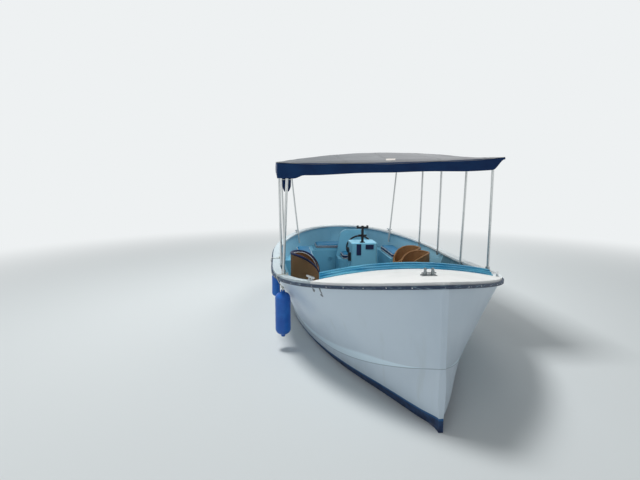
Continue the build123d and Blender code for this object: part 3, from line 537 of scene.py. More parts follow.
def makeCanopy():
    vertices, uvs = [], []
    rows, columns, inset = canopy["rows"], canopy["columns"], canopy["inset"]
    for row in range(rows):
        s = canopy["frontS"] + inset + (canopy["endS"] - canopy["frontS"] - 2 * inset) * row / (rows - 1)
        half = canopyEdge(s) - inset
        for column in range(columns):
            share = column / (columns - 1) * 2 - 1
            y = half * share
            top = canopySkin.ray_cast(Vector((along(s), y * 0.998, 3.0)), Vector((0, 0, -1)))[0].z
            flat = 1 - abs(share) ** 6
            wave = math.sin(s * 19 + y * 7) * math.sin(y * 13 - s * 5) * canopy["wave"]
            pull = math.sin(abs(y) * 60 + s * 4) * canopy["pull"] * abs(share) ** 3
            sag = canopy["sag"] * hoopSag(s) * flat * (0.75 + 0.25 * math.cos(share * 9))
            z = top - canopy["under"] - (sag - wave * flat - pull)
            vertices.append((along(s), y, z))
            uvs.append((s - canopy["frontS"], y))
    piece = newPiece("canopyCloth", vertices, [face[::-1] for face in gridFaces(rows, columns)],
                     finishes["canopy_cloth"], uvs=uvs)
    thicken(piece, canopy["thickness"], -1)
    fit(piece, "canopy_top")
    return piece


canopyPiece = makeCanopy()
print("canopy cloth:", len(canopyPiece.data.polygons), "faces")


# ---- what repeats along an edge

def repeatTree():  # domed heads at even steps along a path, each turned to face outwards
    tree = bpy.data.node_groups.new("domesAlongPath", "GeometryNodeTree")
    for label, kind in (("Path", "Geometry"), ("Spacing", "Float"), ("Radius", "Float"), ("Height", "Float"),
                        ("Finish", "Material")):
        tree.interface.new_socket(label, in_out="INPUT", socket_type="NodeSocket" + kind)
    tree.interface.new_socket("Pieces", in_out="OUTPUT", socket_type="NodeSocketGeometry")
    add, join = tree.nodes.new, tree.links.new
    given, result = add("NodeGroupInput"), add("NodeGroupOutput")
    toCurve, resample = add("GeometryNodeMeshToCurve"), add("GeometryNodeResampleCurve")
    resample.mode = "LENGTH"
    head = add("GeometryNodeMeshUVSphere")
    head.inputs["Segments"].default_value, head.inputs["Rings"].default_value = 14, 8
    facing = add("GeometryNodeInputNamedAttribute")
    facing.data_type = "FLOAT_VECTOR"
    facing.inputs["Name"].default_value = "facing"
    turn = add("FunctionNodeAlignRotationToVector")
    turn.axis = "Z"
    size = add("ShaderNodeCombineXYZ")
    size.inputs[0].default_value = size.inputs[1].default_value = 1.0
    place, real = add("GeometryNodeInstanceOnPoints"), add("GeometryNodeRealizeInstances")
    coating = add("GeometryNodeSetMaterial")
    for start, end in (
            (given.outputs["Path"], toCurve.inputs[0]), (toCurve.outputs[0], resample.inputs["Curve"]),
            (given.outputs["Spacing"], resample.inputs["Length"]), (given.outputs["Height"], size.inputs[2]),
            (given.outputs["Radius"], head.inputs["Radius"]),
            (facing.outputs["Attribute"], turn.inputs["Vector"]),
            (resample.outputs[0], place.inputs["Points"]), (head.outputs["Mesh"], place.inputs["Instance"]),
            (turn.outputs[0], place.inputs["Rotation"]), (size.outputs[0], place.inputs["Scale"]),
            (place.outputs[0], real.inputs[0]), (real.outputs[0], coating.inputs["Geometry"]),
            (given.outputs["Finish"], coating.inputs["Material"]), (coating.outputs[0], result.inputs[0])):
        join(start, end)
    return tree


domesAlongPath = repeatTree()


def repeatAlong(name, points, facing, spacing, radius, height, slot):
    mesh = bpy.data.meshes.new(name)
    mesh.from_pydata([tuple(p) for p in points], [(i, i + 1) for i in range(len(points) - 1)], [])
    outward = mesh.attributes.new("facing", "FLOAT_VECTOR", "POINT")
    outward.data.foreach_set("vector", [c for f in facing for c in f])
    piece = linked(name, mesh)
    modifier = piece.modifiers.new("repeat", "NODES")
    modifier.node_group = domesAlongPath
    values = {"Spacing": spacing, "Radius": radius, "Height": height, "Finish": finishes[slot]}
    for item in domesAlongPath.interface.items_tree:
        if item.in_out == "INPUT" and item.name in values:
            modifier[item.identifier] = values[item.name]
    applyAll(piece)
    piece.data.shade_smooth()
    return fit(piece)


# ---- valance round the canopy's edge

valance = {"drop": 0.105, "step": 0.016, "rows": 9, "wave": 0.0045, "thickness": 0.002, "inset": 0.0045,
           # how much lower it hangs to starboard, its drop to port, and how much less it hangs amidships
           "sagged": 0.030, "hitched": 0.014, "arched": 0.018,
           "snaps": 0.24, "snapRadius": 0.006, "snapDrop": 0.014, "welt": 0.0028}


def canopyUnderZ(s, y):
    for place in (y, y * 0.995):  # a hair inside where the edge itself is missed
        hit = canopySkin.ray_cast(Vector((along(s), place, 1.0)), Vector((0, 0, 1)))[0]
        if hit:
            return hit.z
    return 1.79


def ease(value, start, end):
    share = min(1.0, max(0.0, (value - start) / (end - start)))
    return share * share * (3 - 2 * share)


def valanceDrop(s, y):
    ahead = 1 - ease(s, canopy["frontS"] + 0.02, canopy["frontS"] + 0.45)
    sagged = valance["sagged"] * ease(-y, 0.80, 0.90) * ahead
    hitched = (valance["drop"] - valance["hitched"]) * ease(y, 0.93, 1.04) * ahead
    arched = valance["arched"] * ease(1.0 - abs(y), 0.1, 0.9) * ahead
    return valance["drop"] + sagged - hitched - arched


def valancePath():
    inset = valance["inset"]
    front, end = canopy["frontS"] + inset, canopy["endS"] - inset
    corners = []
    for s in [front] + canopy["hoops"] + [end]:
        corners.append((s, canopyEdge(min(max(s, front + 0.003), end - 0.003)) - inset))
    loop = corners + [(s, -y) for s, y in reversed(corners)]
    path, length = [], 0.0
    for (s0, y0), (s1, y1) in zip(loop, loop[1:] + loop[:1]):
        run = math.hypot(s1 - s0, y1 - y0)
        count = max(1, round(run / valance["step"]))
        out = Vector((-(y1 - y0), -(s1 - s0), 0)).normalized()
        for i in range(count):
            share = i / count
            path.append((s0 + (s1 - s0) * share, y0 + (y1 - y0) * share, length + run * share, out))
        length += run
    return path, length


def makeValance():
    random.seed(4)
    path, length = valancePath()
    waves = [(random.uniform(2, 26), random.uniform(0, 6.28), random.uniform(0.3, 1.0)) for i in range(9)]
    vertices, uvs, rows = [], [], valance["rows"]
    for s, y, run, out in path:
        top = canopyUnderZ(s, y)
        wave = sum(size * math.sin(2 * math.pi * round(count * length / 10) / length * run + phase)
                   for count, phase, size in waves) / 4
        drop = valanceDrop(s, y)
        for row in range(rows):
            share = row / (rows - 1)
            z = top - 0.0006 - drop * share + 0.002 * math.sin(run * 9) * share
            push = valance["wave"] * wave * share ** 0.8 - 0.003 * math.sin(share * math.pi)
            vertices.append((along(s) + out.x * push, y + out.y * push, z))
            uvs.append((run, share * drop))
    count = len(path)
    faces = [(i * rows + r, i * rows + r + 1, (i + 1) % count * rows + r + 1, (i + 1) % count * rows + r)
             for i in range(count) for r in range(rows - 1)]
    piece = newPiece("canopyValance", vertices, faces, finishes["valance_cloth"], uvs=uvs)
    repairNormals(piece)
    thicken(piece, valance["thickness"], 0)
    fit(piece, "canopy_valance")
    snaps, outward, hem = [], [], []
    for s, y, run, out in path:
        top = canopyUnderZ(s, y)
        snaps.append(Vector((along(s), y, top - valance["snapDrop"])) + out * 0.0012)
        outward.append(out)
        hem.append(Vector((along(s), y, top + 0.0015)) + out * 0.0035)
    repeatAlong("valanceSnaps", snaps, outward, valance["snaps"], valance["snapRadius"], 0.45, "marine_steel")
    tubePiece("canopyWelt", hem, valance["welt"], "canopy_cloth")


makeValance()
print("valance hung")


# ---- side curtain, rolled and strapped under the starboard eave, its fore end gathered and hanging

roll = {"foreX": 1.096, "aftX": -0.821, "radius": 0.042, "height": 1.650, "pitch": 0.0085, "core": 0.007,
        "thickness": 0.003, "straps": 5, "strapWidth": 0.028, "strapThickness": 0.0022, "pinch": 0.80,
        "rings": 130, "steps": 44}  # steps to a turn
bunch = {"x": 1.055, "folds": 9, "depth": 0.34, "rings": 168, "layers": 30, "thickness": 0.0025,
         "tieRadius": 0.0405, "tieHeight": 1.612, "tie": 0.0032,
         "outline": [(1.500, 0.020), (1.518, 0.030), (1.545, 0.040), (1.600, 0.042), (1.648, 0.040)]}


def rollPinch(share):
    nearest = min(abs(share - (k + 0.5) / roll["straps"]) for k in range(roll["straps"]))
    return roll["pinch"] + (1 - roll["pinch"]) * min(1.0, (nearest / 0.055)) ** 0.6


def meshArea(vertices, faces):
    total = 0.0
    for a, b, c, d in faces:
        total += (vertices[c] - vertices[a]).cross(vertices[d] - vertices[b]).length / 2
    return total


def makeRoll():
    low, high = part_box("rolled_curtain")
    middleY = (low[1] + high[1]) / 2
    rings, steps = roll["rings"], int((roll["radius"] - roll["core"]) / roll["pitch"] * roll["steps"])
    length = roll["foreX"] - roll["aftX"]
    vertices, uvs = [], []
    wound = 0.0
    for j in range(steps):
        angle = j / roll["steps"] * 2 * math.pi
        r = roll["core"] + roll["pitch"] * angle / (2 * math.pi)
        wound += r * 2 * math.pi / roll["steps"]
        for i in range(rings):
            share = i / (rings - 1)
            squeeze = rollPinch(share) * (1 + 0.03 * math.sin(share * 31 + angle * 2) * (r / roll["radius"]))
            droop = -0.004 * math.sin(share * math.pi * roll["straps"]) ** 2
            vertices.append((roll["aftX"] + length * share, middleY + r * squeeze * math.sin(angle),
                             roll["height"] + r * squeeze * math.cos(angle) * 0.97 + droop))
            uvs.append((length * share, wound))
    piece = newPiece("rolledCurtain", vertices, gridFaces(steps, rings), finishes["valance_cloth"], uvs=uvs)
    thicken(piece, roll["thickness"], 0)
    fit(piece, "rolled_curtain")
    for k in range(roll["straps"]):
        x = roll["aftX"] + length * (k + 0.5) / roll["straps"]
        r = roll["radius"] * roll["pinch"] + 0.0035
        ring = [(x + side * roll["strapWidth"], middleY + r * math.sin(a), roll["height"] + r * math.cos(a))
                for side in (-0.5, 0.5) for a in turns(48)]
        strap = newPiece(f"curtainStrap{k + 1}", ring, bandFaces(2, 48), finishes["cushion_vinyl"])
        repairNormals(strap)
        thicken(strap, roll["strapThickness"], 0)
        fit(strap)
    return middleY


def makeBunch(middleY):  # pleats deepen downwards and twist a little, and the hem hangs unevenly
    rings, layers = bunch["rings"], bunch["layers"]
    heights, radii = zip(*bunch["outline"])
    vertices, uvs = [], []
    for layer in range(layers):
        z = heights[0] + (heights[-1] - heights[0]) * layer / (layers - 1)
        radius = float(np.interp(z, heights, radii))
        lower = 1 - (z - heights[0]) / (heights[-1] - heights[0])
        for angle in turns(rings):
            twist = 1.6 * math.sin(angle * 2 + 1) + lower * 1.4 * math.sin(angle + 2)
            crease = (0.5 - 0.5 * math.cos(angle * bunch["folds"] + twist)) ** 0.8
            r = radius * (1 - bunch["depth"] * crease * (0.35 + 0.65 * lower))
            hem = 0.012 * lower ** 3 * (1 + math.sin(angle * 2 + 0.5)) / 2
            vertices.append(Vector((bunch["x"] + r * math.cos(angle), middleY + r * math.sin(angle),
                                    z + hem)))
            uvs.append((angle * 0.06, z))
    faces = bandFaces(layers, rings)
    area = meshArea(vertices, faces)
    under = len(vertices)
    vertices.append(Vector((bunch["x"], middleY, heights[0] + 0.020)))
    uvs.append((0.0, heights[0]))
    faces += [(under, (i + 1) % rings, i) for i in range(rings)]
    piece = newPiece("gatheredCurtainEnd", vertices, faces, finishes["valance_cloth"], uvs=uvs)
    repairNormals(piece)
    thicken(piece, bunch["thickness"], -1)
    fit(piece)
    height = heights[-1] - heights[0]
    area / height
    tie = [Vector((bunch["x"] + bunch["tieRadius"] * math.cos(a), middleY + bunch["tieRadius"] * math.sin(a),
                   bunch["tieHeight"])) for a in turns(40)]
    tubePiece("curtainEndTie", tie, bunch["tie"], "lanyard_rope")


makeBunch(makeRoll())
print("curtain rolled")


# ---- cushions, plumped by cloth simulation

cushions = {
    "side_cushion_port": {"name": "portBenchCushion", "body": "boat", "corner": 0.035},
    "side_cushion_starboard": {"name": "starboardBenchCushion", "body": "boat", "corner": 0.035},
    "stern_cushion": {"name": "sternCushion", "body": "locker_lid", "corner": 0.045},
    "helm_cushion": {"name": "helmCushion", "body": "boat", "corner": 0.050},
}
plump = {"shrink": 0.010, "voxel": 0.006, "pressure": 4.0, "frames": 18, "cap": 0.012,
         "edge": 0.012, "crown": 0.010, "piping": 0.0035, "border": 0.009}


def roundedBox(low, high, corner, edge):
    work = bmesh.new()
    bmesh.ops.create_cube(work, size=1.0)
    for vertex in work.verts:
        vertex.co = Vector([(a + b) / 2 + c * (b - a) for a, b, c in zip(low, high, vertex.co)])
    upright = [e for e in work.edges if abs(e.verts[0].co.z - e.verts[1].co.z) > 1e-4]
    bmesh.ops.bevel(work, geom=upright, offset=corner, segments=6, affect="EDGES", profile=0.5)
    rims = [e for e in work.edges if e.calc_face_angle(0) > 1.2]
    bmesh.ops.bevel(work, geom=rims, offset=edge, segments=3, affect="EDGES", profile=0.5)
    return meshOf(work, "cushionForm")


def rimPath(low, high, corner, z, inset):
    points = []
    x0, y0, x1, y1 = low[0] + inset, low[1] + inset, high[0] - inset, high[1] - inset
    for cx, cy, start in ((x1 - corner, y1 - corner, 0), (x0 + corner, y1 - corner, 90),
                          (x0 + corner, y0 + corner, 180), (x1 - corner, y0 + corner, 270)):
        for k in range(9):
            angle = math.radians(start + k * 90 / 8)
            points.append(Vector((cx + corner * math.cos(angle), cy + corner * math.sin(angle), z)))
    full = []
    for a, b in zip(points, points[1:] + points[:1]):
        count = max(1, int((b - a).length / 0.02))
        full += [a.lerp(b, i / count) for i in range(count)]
    return full


def makeCushion(node, look):
    low, high = boxOf(node)
    shrink = plump["shrink"]
    inner = (low + Vector((shrink, shrink, 0.004)), high - Vector((shrink, shrink, shrink * 0.6)))
    piece = linked(look["name"], roundedBox(*inner, look["corner"], plump["edge"]))
    addModifier(piece, "REMESH", mode="VOXEL", voxel_size=plump["voxel"])
    applyAll(piece)
    before = np.array([v.co for v in piece.data.vertices])
    cloth = addModifier(piece, "CLOTH")
    cloth.settings.use_pressure = True
    cloth.settings.uniform_pressure_force = plump["pressure"]
    cloth.settings.effector_weights.gravity = 0.0
    cloth.settings.quality = 4
    cloth.point_cache.frame_end = plump["frames"]
    for number in range(1, plump["frames"] + 1):
        bpy.context.scene.frame_set(number)
    applyAll(piece)
    bpy.context.scene.frame_set(1)
    after = np.array([v.co for v in piece.data.vertices])
    move = after - before
    reach = np.linalg.norm(move, axis=1, keepdims=True)
    move *= np.minimum(1.0, plump["cap"] / np.maximum(reach, 1e-9))
    after = before + move
    centre = (np.array(low) + np.array(high)) / 2
    half = (np.array(high) - np.array(low)) / 2
    side = np.abs((after - centre)[:, :2] / half[:2])
    crown = (1 - side[:, 0] ** 4) * (1 - side[:, 1] ** 4)
    upper = np.clip((after[:, 2] - centre[2]) / half[2], 0, 1)
    after[:, 2] += upper * (crown * plump["crown"] - 0.004)
    after = np.clip(after, np.array(low) + (-0.002, -0.002, 0.0005),
                    np.array(high) + (0.002, 0.002, plump["crown"]))
    piece.data.vertices.foreach_set("co", after.ravel())
    piece.data.update()
    border = high.z - plump["border"]
    coat(piece.data, vinyl(look["name"] + "Vinyl", *vinylLook["cushion"], borderBelow=border))
    addModifier(piece, "SUBSURF", levels=1, render_levels=1)
    applyAll(piece)
    piece.data.shade_smooth()
    fit(piece, node, look["body"])
    skin = skinOf(piece.data)
    for label, z in (("Top", high[2] - 0.007), ("Bottom", low[2] + 0.009)):
        path = []
        for point in rimPath(low, high, look["corner"], z, 0.006):
            near, normal, index, away = skin.find_nearest(point)
            path.append(near + normal * 0.0012)
        tubePiece(look["name"] + label + "Piping", path, plump["piping"], "piping",
                  body=look["body"])


for node, look in cushions.items():
    makeCushion(node, look)
print("cushions plumped")


# ---- quilted side panels under the side decks, with studs along the top

panels = {"voxel": 0.0065, "pitch": 0.292, "groove": 0.0045, "puff": 0.0050, "seam": 0.006, "pucker": 0.0010,
          "stud": 0.0050, "studs": 0.058, "studDrop": 0.016, "bead": 0.0036, "beadRise": 0.010}


def makePanel(node, name, side):
    source = nodes[node].data
    piece = newPiece(name, [v.co for v in source.vertices], [tuple(p.vertices) for p in source.polygons],
                     finishes["side_panel"])
    addModifier(piece, "REMESH", mode="VOXEL", voxel_size=panels["voxel"])
    applyAll(piece)
    low, high = boxOf(node)
    mesh = piece.data
    places = np.array([v.co for v in mesh.vertices])
    facing = np.array([v.normal for v in mesh.vertices])
    bay = (places[:, 0] - low.x) / panels["pitch"]
    away = np.abs(bay - np.round(bay)) * panels["pitch"]
    seam = np.exp(-(away / panels["seam"]) ** 2)
    crown = np.clip(np.sin(np.pi * (bay % 1.0)), 0, 1) ** 0.5
    rise = np.clip((places[:, 2] - low.z) / (high.z - low.z), 0, 1)
    swell = np.sin(np.pi * rise) ** 0.6
    ripple = np.sin(places[:, 2] * 150 + np.sin(places[:, 0] * 9) * 2) * np.exp(-away / 0.03)
    inward = np.clip(-side * facing[:, 1], 0, 1)
    push = (panels["puff"] * crown * swell - panels["groove"] * seam + panels["pucker"] * ripple) * inward
    places += facing * push[:, None]
    mesh.vertices.foreach_set("co", places.ravel())
    mesh.update()
    addModifier(piece, "SMOOTH", factor=0.5, iterations=2)
    applyAll(piece)
    coat(piece.data, finishes["side_panel"])
    piece.data.shade_smooth()
    fit(piece, node)
    skin, inboard = skinOf(piece.data), Vector((0, -side, 0))
    studs, outward, rope = [], [], []
    for x in np.linspace(low.x + 0.015, high.x - 0.015, 90):
        for z in np.arange(high.z, low.z, -0.003):
            if skin.ray_cast(Vector((float(x), 0.0, float(z))), -inboard)[0]:
                under = skin.ray_cast(Vector((float(x), 0.0, float(z) - panels["studDrop"])), -inboard)[0]
                if under:
                    studs.append(under + inboard * 0.0005)
                    outward.append(inboard)
                    rope.append(under + inboard * 0.0030 + Vector((0, 0, panels["beadRise"])))
                break
    repeatAlong(name + "Studs", studs, outward, panels["studs"], panels["stud"], 0.5, "marine_steel")
    tubePiece(name + "Bead", rope, panels["bead"], "piping", closed=False)


makePanel("side_panel_port", "portSidePanel", 1)
makePanel("side_panel_starboard", "starboardSidePanel", -1)
print("side panels quilted")


# ---- woven round-backed seats: a finish round each seat's own centre, and a rolled rim

tubSeats = {
    "tub_seat_port_forward": {"name": "portForeSeat", "facing": -78, "rim": "tub_seat", "size": 0.0130},
    "tub_seat_port_aft": {"name": "portAftSeat", "facing": -78, "rim": "tub_seat", "size": 0.0130},
    "tub_seat_starboard": {"name": "starboardSeat", "facing": 78, "rim": "console_panel", "size": 0.0165},
}
tubForm = {"radius": 0.185, "wall": 0.022, "low": 0.370, "high": 0.650, "reach": 0.9, "span": 1.9,
           "row": 0.0105, "posts": 30.0, "shadow": "4a3020", "cane": "b78655", "strandHighlight": "dcb37e",
           "streak": "6d3b20", "welt": 0.0045}


def wicker(name, centreX, centreY):
    f = Finish(name, Specular_IOR_Level=0.45)
    x, y, z = f.axes()
    angle = f.node("ShaderNodeMath", {"operation": "ARCTAN2"}, {0: y - centreY, 1: x - centreX})
    row = (z * (math.pi / tubForm["row"])).sin()
    post = (angle * tubForm["posts"]).sin()
    strand = row.abs()
    over = (row * post).step(-0.25, 0.35)
    height = strand * 0.6 + over * strand * 0.6
    tone = f.noise(34.0, 4, rough=0.6)
    streaks = f.noise(9.0, 3, f.scaled((1.0, 1.0, 14.0)))
    base = f.mix(height.step(0.15, 0.85), tubForm["shadow"], tubForm["cane"])
    # painted highlight on the raised strands, broken up by noise
    base = f.mix(tone.step(0.45, 0.72) * height.step(0.3, 0.9) * 0.6, base, tubForm["strandHighlight"])
    base = f.mix(streaks.step(0.52, 0.70) * 0.35, base, tubForm["streak"])
    return f.feed(Base_Color=base, Roughness=0.42 + tone * 0.2, Normal=f.bump(height, 0.0035, 0.8))


def rimHeight(angle, facing):
    u = math.cos(angle - math.radians(facing))
    if u <= -tubForm["reach"]:
        return tubForm["high"]
    share = (u + tubForm["reach"]) / tubForm["span"]
    return tubForm["low"] + (tubForm["high"] - tubForm["low"]) * math.sqrt(max(0.0, 1 - share ** 2))


def makeSeat(node, look):
    low, high = boxOf(node)
    middle = (low + high) / 2
    dress(node, wicker(look["name"] + "Wicker", middle.x, middle.y))
    wall = tubForm["radius"] - tubForm["wall"] / 2
    rim, welt = [], []
    for angle in turns(96):
        out = Vector((math.cos(angle), math.sin(angle), 0))
        top = Vector((middle.x, middle.y, rimHeight(angle, look["facing"])))
        rim.append(top + out * wall + Vector((0, 0, 0.001)))
        welt.append(top + out * (wall - look["size"] - 0.001) - Vector((0, 0, 0.011)))
    edge = tubePiece(look["name"] + "Rim", rim, look["size"], look["rim"])
    if look["rim"] != "tub_seat":
        tubePiece(look["name"] + "Welt", welt, tubForm["welt"], "piping")
    else:
        edge.data.materials[0] = nodes[node].data.materials[0]


for node, look in tubSeats.items():
    makeSeat(node, look)
print("seats woven")


# ---- fenders and their lanyards

fenders = {  # each route: y and z of its corners, from the fender's eye up over the cap
    "fender_large": {"name": "foreFender", "lanyard": "lanyard_large", "rope": "foreLanyard",
                     "route": [(-1.004, 0.602), (-1.0577, 0.6855), (-1.0577, 0.7305), (-1.030, 0.7305),
                               (-0.962, 0.7305)]},
    "fender_small": {"name": "aftFender", "lanyard": "lanyard_small", "rope": "aftLanyard",
                     "route": [(-1.072, 0.516), (-1.1267, 0.6264), (-1.1267, 0.6714), (-1.099, 0.6714),
                               (-1.031, 0.6714)]},
}
fenderForm = {"neck": 0.27, "end": 0.75, "shoulder": 1.125, "steps": 28, "rings": 72, "bore": 0.0058}
ropeLook = {"diameter": 0.008, "lay": 0.030, "sides": 24, "knot": 0.0046, "loop": (0.0265, 0.0150)}
padEye = {"plate": (0.040, 0.018, 0.003), "screw": 0.0026, "screwX": 0.0155, "bow": (0.0095, 0.0125, 0.0023)}
capSkin = skinOf(nodes["gunwale_cap"].data)


def fenderProfile(radius, length):  # radius and height of the moulding, from its lower tip to its middle
    neck, end, shoulder = (radius * fenderForm[key] for key in ("neck", "end", "shoulder"))
    points = [(0.0, 0.0), (neck * 0.55, 0.0), (neck * 0.85, 0.0015), (neck * 0.97, 0.005), (neck, end * 0.30),
              (neck * 1.16, end * 0.34), (neck * 1.18, end * 0.41), (neck * 1.02, end * 0.46)]
    steps = fenderForm["steps"]
    for k in range(1, steps + 1):
        turn = k / steps * math.pi / 2
        rib = 0.0013 * max(0.0, math.sin(k * 1.15)) * (1 - k / steps)
        points.append((neck + (radius - neck) * math.sin(turn) ** 0.92 + rib,
                       end * 0.46 + (shoulder - end * 0.46) * (1 - math.cos(turn)) ** 0.95))
    for share in (0.2, 0.5, 0.8, 1.0):
        points.append((radius - 0.0006 * share, shoulder + (length / 2 - shoulder) * share))
    return points


def sweepRope(name, points, node=None):  # three strands laid up round the points of a route
    sides, radius = ropeLook["sides"], ropeLook["diameter"] / 2
    vertices, uvs, run = [], [], 0.0
    side = Vector((1, 0, 0))
    for i, place in enumerate(points):
        ahead = (points[min(i + 1, len(points) - 1)] - points[max(i - 1, 0)]).normalized()
        side = (side - ahead * side.dot(ahead)).normalized()
        other = ahead.cross(side)
        if i:
            run += (place - points[i - 1]).length
        for angle in turns(sides):
            lobe = abs(math.cos(1.5 * (angle - run / ropeLook["lay"] * 2 * math.pi)))
            r = radius * (0.78 + 0.22 * lobe ** 0.7)
            vertices.append(place + side * (r * math.cos(angle)) + other * (r * math.sin(angle)))
            uvs.append((run, angle * radius))
    faces = bandFaces(len(points), sides)
    faces += [tuple(reversed(range(sides))), tuple((len(points) - 1) * sides + j for j in range(sides))]
    return fit(newPiece(name, vertices, faces, finishes["lanyard_rope"], uvs=uvs), node)


def routePoints(name, route):  # the NURBS spline through a route's corners, as Blender evaluates it
    curve = bpy.data.curves.new(name, "CURVE")
    curve.dimensions, curve.resolution_u = "3D", 24
    spline = curve.splines.new("NURBS")
    spline.points.add(len(route) - 1)
    for point, place in zip(spline.points, route):
        point.co = (*place, 1.0)
    spline.order_u, spline.use_endpoint_u = 3, True
    guide = linked(name, curve)
    mesh = meshFrom(guide)
    bpy.data.objects.remove(guide)
    return [v.co.copy() for v in mesh.vertices]


def makeKnot(name, centre, tilt):  # an overhand knot: a trefoil drawn up tight
    size = ropeLook["knot"]
    turn = tilt.to_track_quat("Z", "Y")
    path = []
    for a in turns(96, 1):
        around = (2 + math.cos(3 * a)) * size
        path.append(centre + turn @ Vector((around * math.cos(2 * a), around * math.sin(2 * a),
                                            math.sin(3 * a) * size * 1.05)))
    return sweepRope(name, path)


def makePadEye(name, x, y):
    top = capSkin.ray_cast(Vector((x, y, 2.0)), Vector((0, 0, -1)))[0].z
    plate = bmesh.new()
    bmesh.ops.create_cone(plate, segments=40, radius1=0.5, radius2=0.44, depth=1.0, cap_ends=True)
    bmesh.ops.scale(plate, vec=padEye["plate"], verts=plate.verts)
    bmesh.ops.translate(plate, vec=(x, y, top + 0.0013), verts=plate.verts)
    for side in (-1, 1):
        screw = bmesh.ops.create_uvsphere(plate, u_segments=12, v_segments=8, radius=padEye["screw"])
        bmesh.ops.scale(plate, vec=(1, 1, 0.5), verts=screw["verts"])
        bmesh.ops.translate(plate, vec=(x + side * padEye["screwX"], y, top + 0.0028), verts=screw["verts"])
    mesh = meshOf(plate, name)
    mesh.materials.append(finishes["marine_steel"])
    mesh.shade_smooth()
    fit(linked(name, mesh))
    half, rise, thickness = padEye["bow"]
    arch = [Vector((x + half * math.cos(a), y, top + 0.002 + rise * math.sin(a)))
            for a in turns(16, 1, math.pi)]
    tubePiece(name + "Bow", arch, thickness, "marine_steel", closed=False)


def boreEye(piece, centre, depth):  # a hole fore and aft through the moulding
    drill = bmesh.new()
    bore = fenderForm["bore"]
    bmesh.ops.create_cone(drill, segments=24, radius1=bore, radius2=bore, depth=depth, cap_ends=True)
    bmesh.ops.rotate(drill, verts=drill.verts, matrix=Matrix.Rotation(math.pi / 2, 3, "Y"))
    bmesh.ops.translate(drill, verts=drill.verts, vec=centre)
    tool = linked("drill", meshOf(drill, "drill"))
    addModifier(piece, "BOOLEAN", object=tool, operation="DIFFERENCE", solver="EXACT")
    applyAll(piece)
    bpy.data.objects.remove(tool)


def makeFender(node, look):
    low, high = boxOf(node)
    middle, radius, length = (low + high) / 2, (high.x - low.x) / 2 - 0.0005, high.z - low.z - 0.0006
    half = fenderProfile(radius, length)
    profile = half + [(r, length - z) for r, z in reversed(half[:-1])]
    rings = fenderForm["rings"]
    vertices = [(middle.x + r * math.cos(a), middle.y + r * math.sin(a), low.z + 0.0003 + z)
                for r, z in profile for a in turns(rings)]
    piece = newPiece(look["name"], vertices, bandFaces(len(profile), rings), finishes["fender_vinyl"])
    work = bmesh.new()
    work.from_mesh(piece.data)
    bmesh.ops.remove_doubles(work, verts=work.verts, dist=1e-5)
    bmesh.ops.recalc_face_normals(work, faces=work.faces)
    work.to_mesh(piece.data)
    work.free()
    eyeRise = radius * fenderForm["end"] * 0.15
    for z in (low.z + eyeRise, high.z - eyeRise):
        boreEye(piece, (middle.x, middle.y, z), radius)
    piece.data.shade_smooth()
    fit(piece, node)
    wide, tall = ropeLook["loop"]
    ring = [Vector((middle.x + wide * math.sin(a), middle.y, high.z - eyeRise + tall - tall * math.cos(a)))
            for a in turns(48, 1)]
    loop = sweepRope(look["rope"] + "Loop", ring)
    points = routePoints(look["rope"] + "Route", [(middle.x, y, z) for y, z in look["route"]])
    lower = makeKnot(look["rope"] + "EyeKnot", points[0] + Vector((0, 0, 0.004)), Vector((0.2, 0.4, 1)))
    upper = makeKnot(look["rope"] + "CapKnot", points[-1] + Vector((0, 0.004, 0.006)), Vector((0.1, 1, 0.3)))
    makePadEye(look["rope"] + "PadEye", middle.x, points[-1].y + 0.004)
    rope = sweepRope(look["rope"], points, look["lanyard"])
    measured = sum((b - a).length for a, b in zip(points, points[1:]))


for node, look in fenders.items():
    makeFender(node, look)
print("fenders hung")


# ---- screws along the rub rail, and the vent in the stern bench

railSkin = skinOf(nodes["rub_rail"].data)
railScrews = {"spacing": 0.19, "radius": 0.0046, "first": 0.10, "last": 5.20}
vent = {"place": (-1.825, -0.237, 0.319), "radius": 0.045, "slats": 6, "slat": (0.0012, 0.0085), "tilt": 35,
        "rim": [(0.74, 0.0), (0.78, 0.0035), (0.90, 0.0042), (0.98, 0.0028), (1.0, 0.0)], "sides": 56}


def railMiddle(x, side):
    hits = []
    for z in np.arange(1.02, 0.60, -0.004):
        hit = railSkin.ray_cast(Vector((x, side * 3.0, float(z))), Vector((0, -side, 0)))
        if hit[0] and abs(hit[0].y) > 0.03:
            hits.append((side * hit[0].y, hit[0], hit[1]))
    if not hits:
        return None
    far = max(h[0] for h in hits)
    near = [h for h in hits if h[0] > far - 0.0015]
    return near[len(near) // 2][1:]


def makeRailScrews():
    for side, label in ((1, "port"), (-1, "starboard")):
        points, facing = [], []
        for s in np.linspace(railScrews["first"], railScrews["last"], 120):
            found = railMiddle(along(float(s)), side)
            if found:
                points.append(found[0])
                facing.append(found[1])
        repeatAlong(label + "RailScrews", points, facing, railScrews["spacing"], railScrews["radius"], 0.35,
                    "marine_steel")


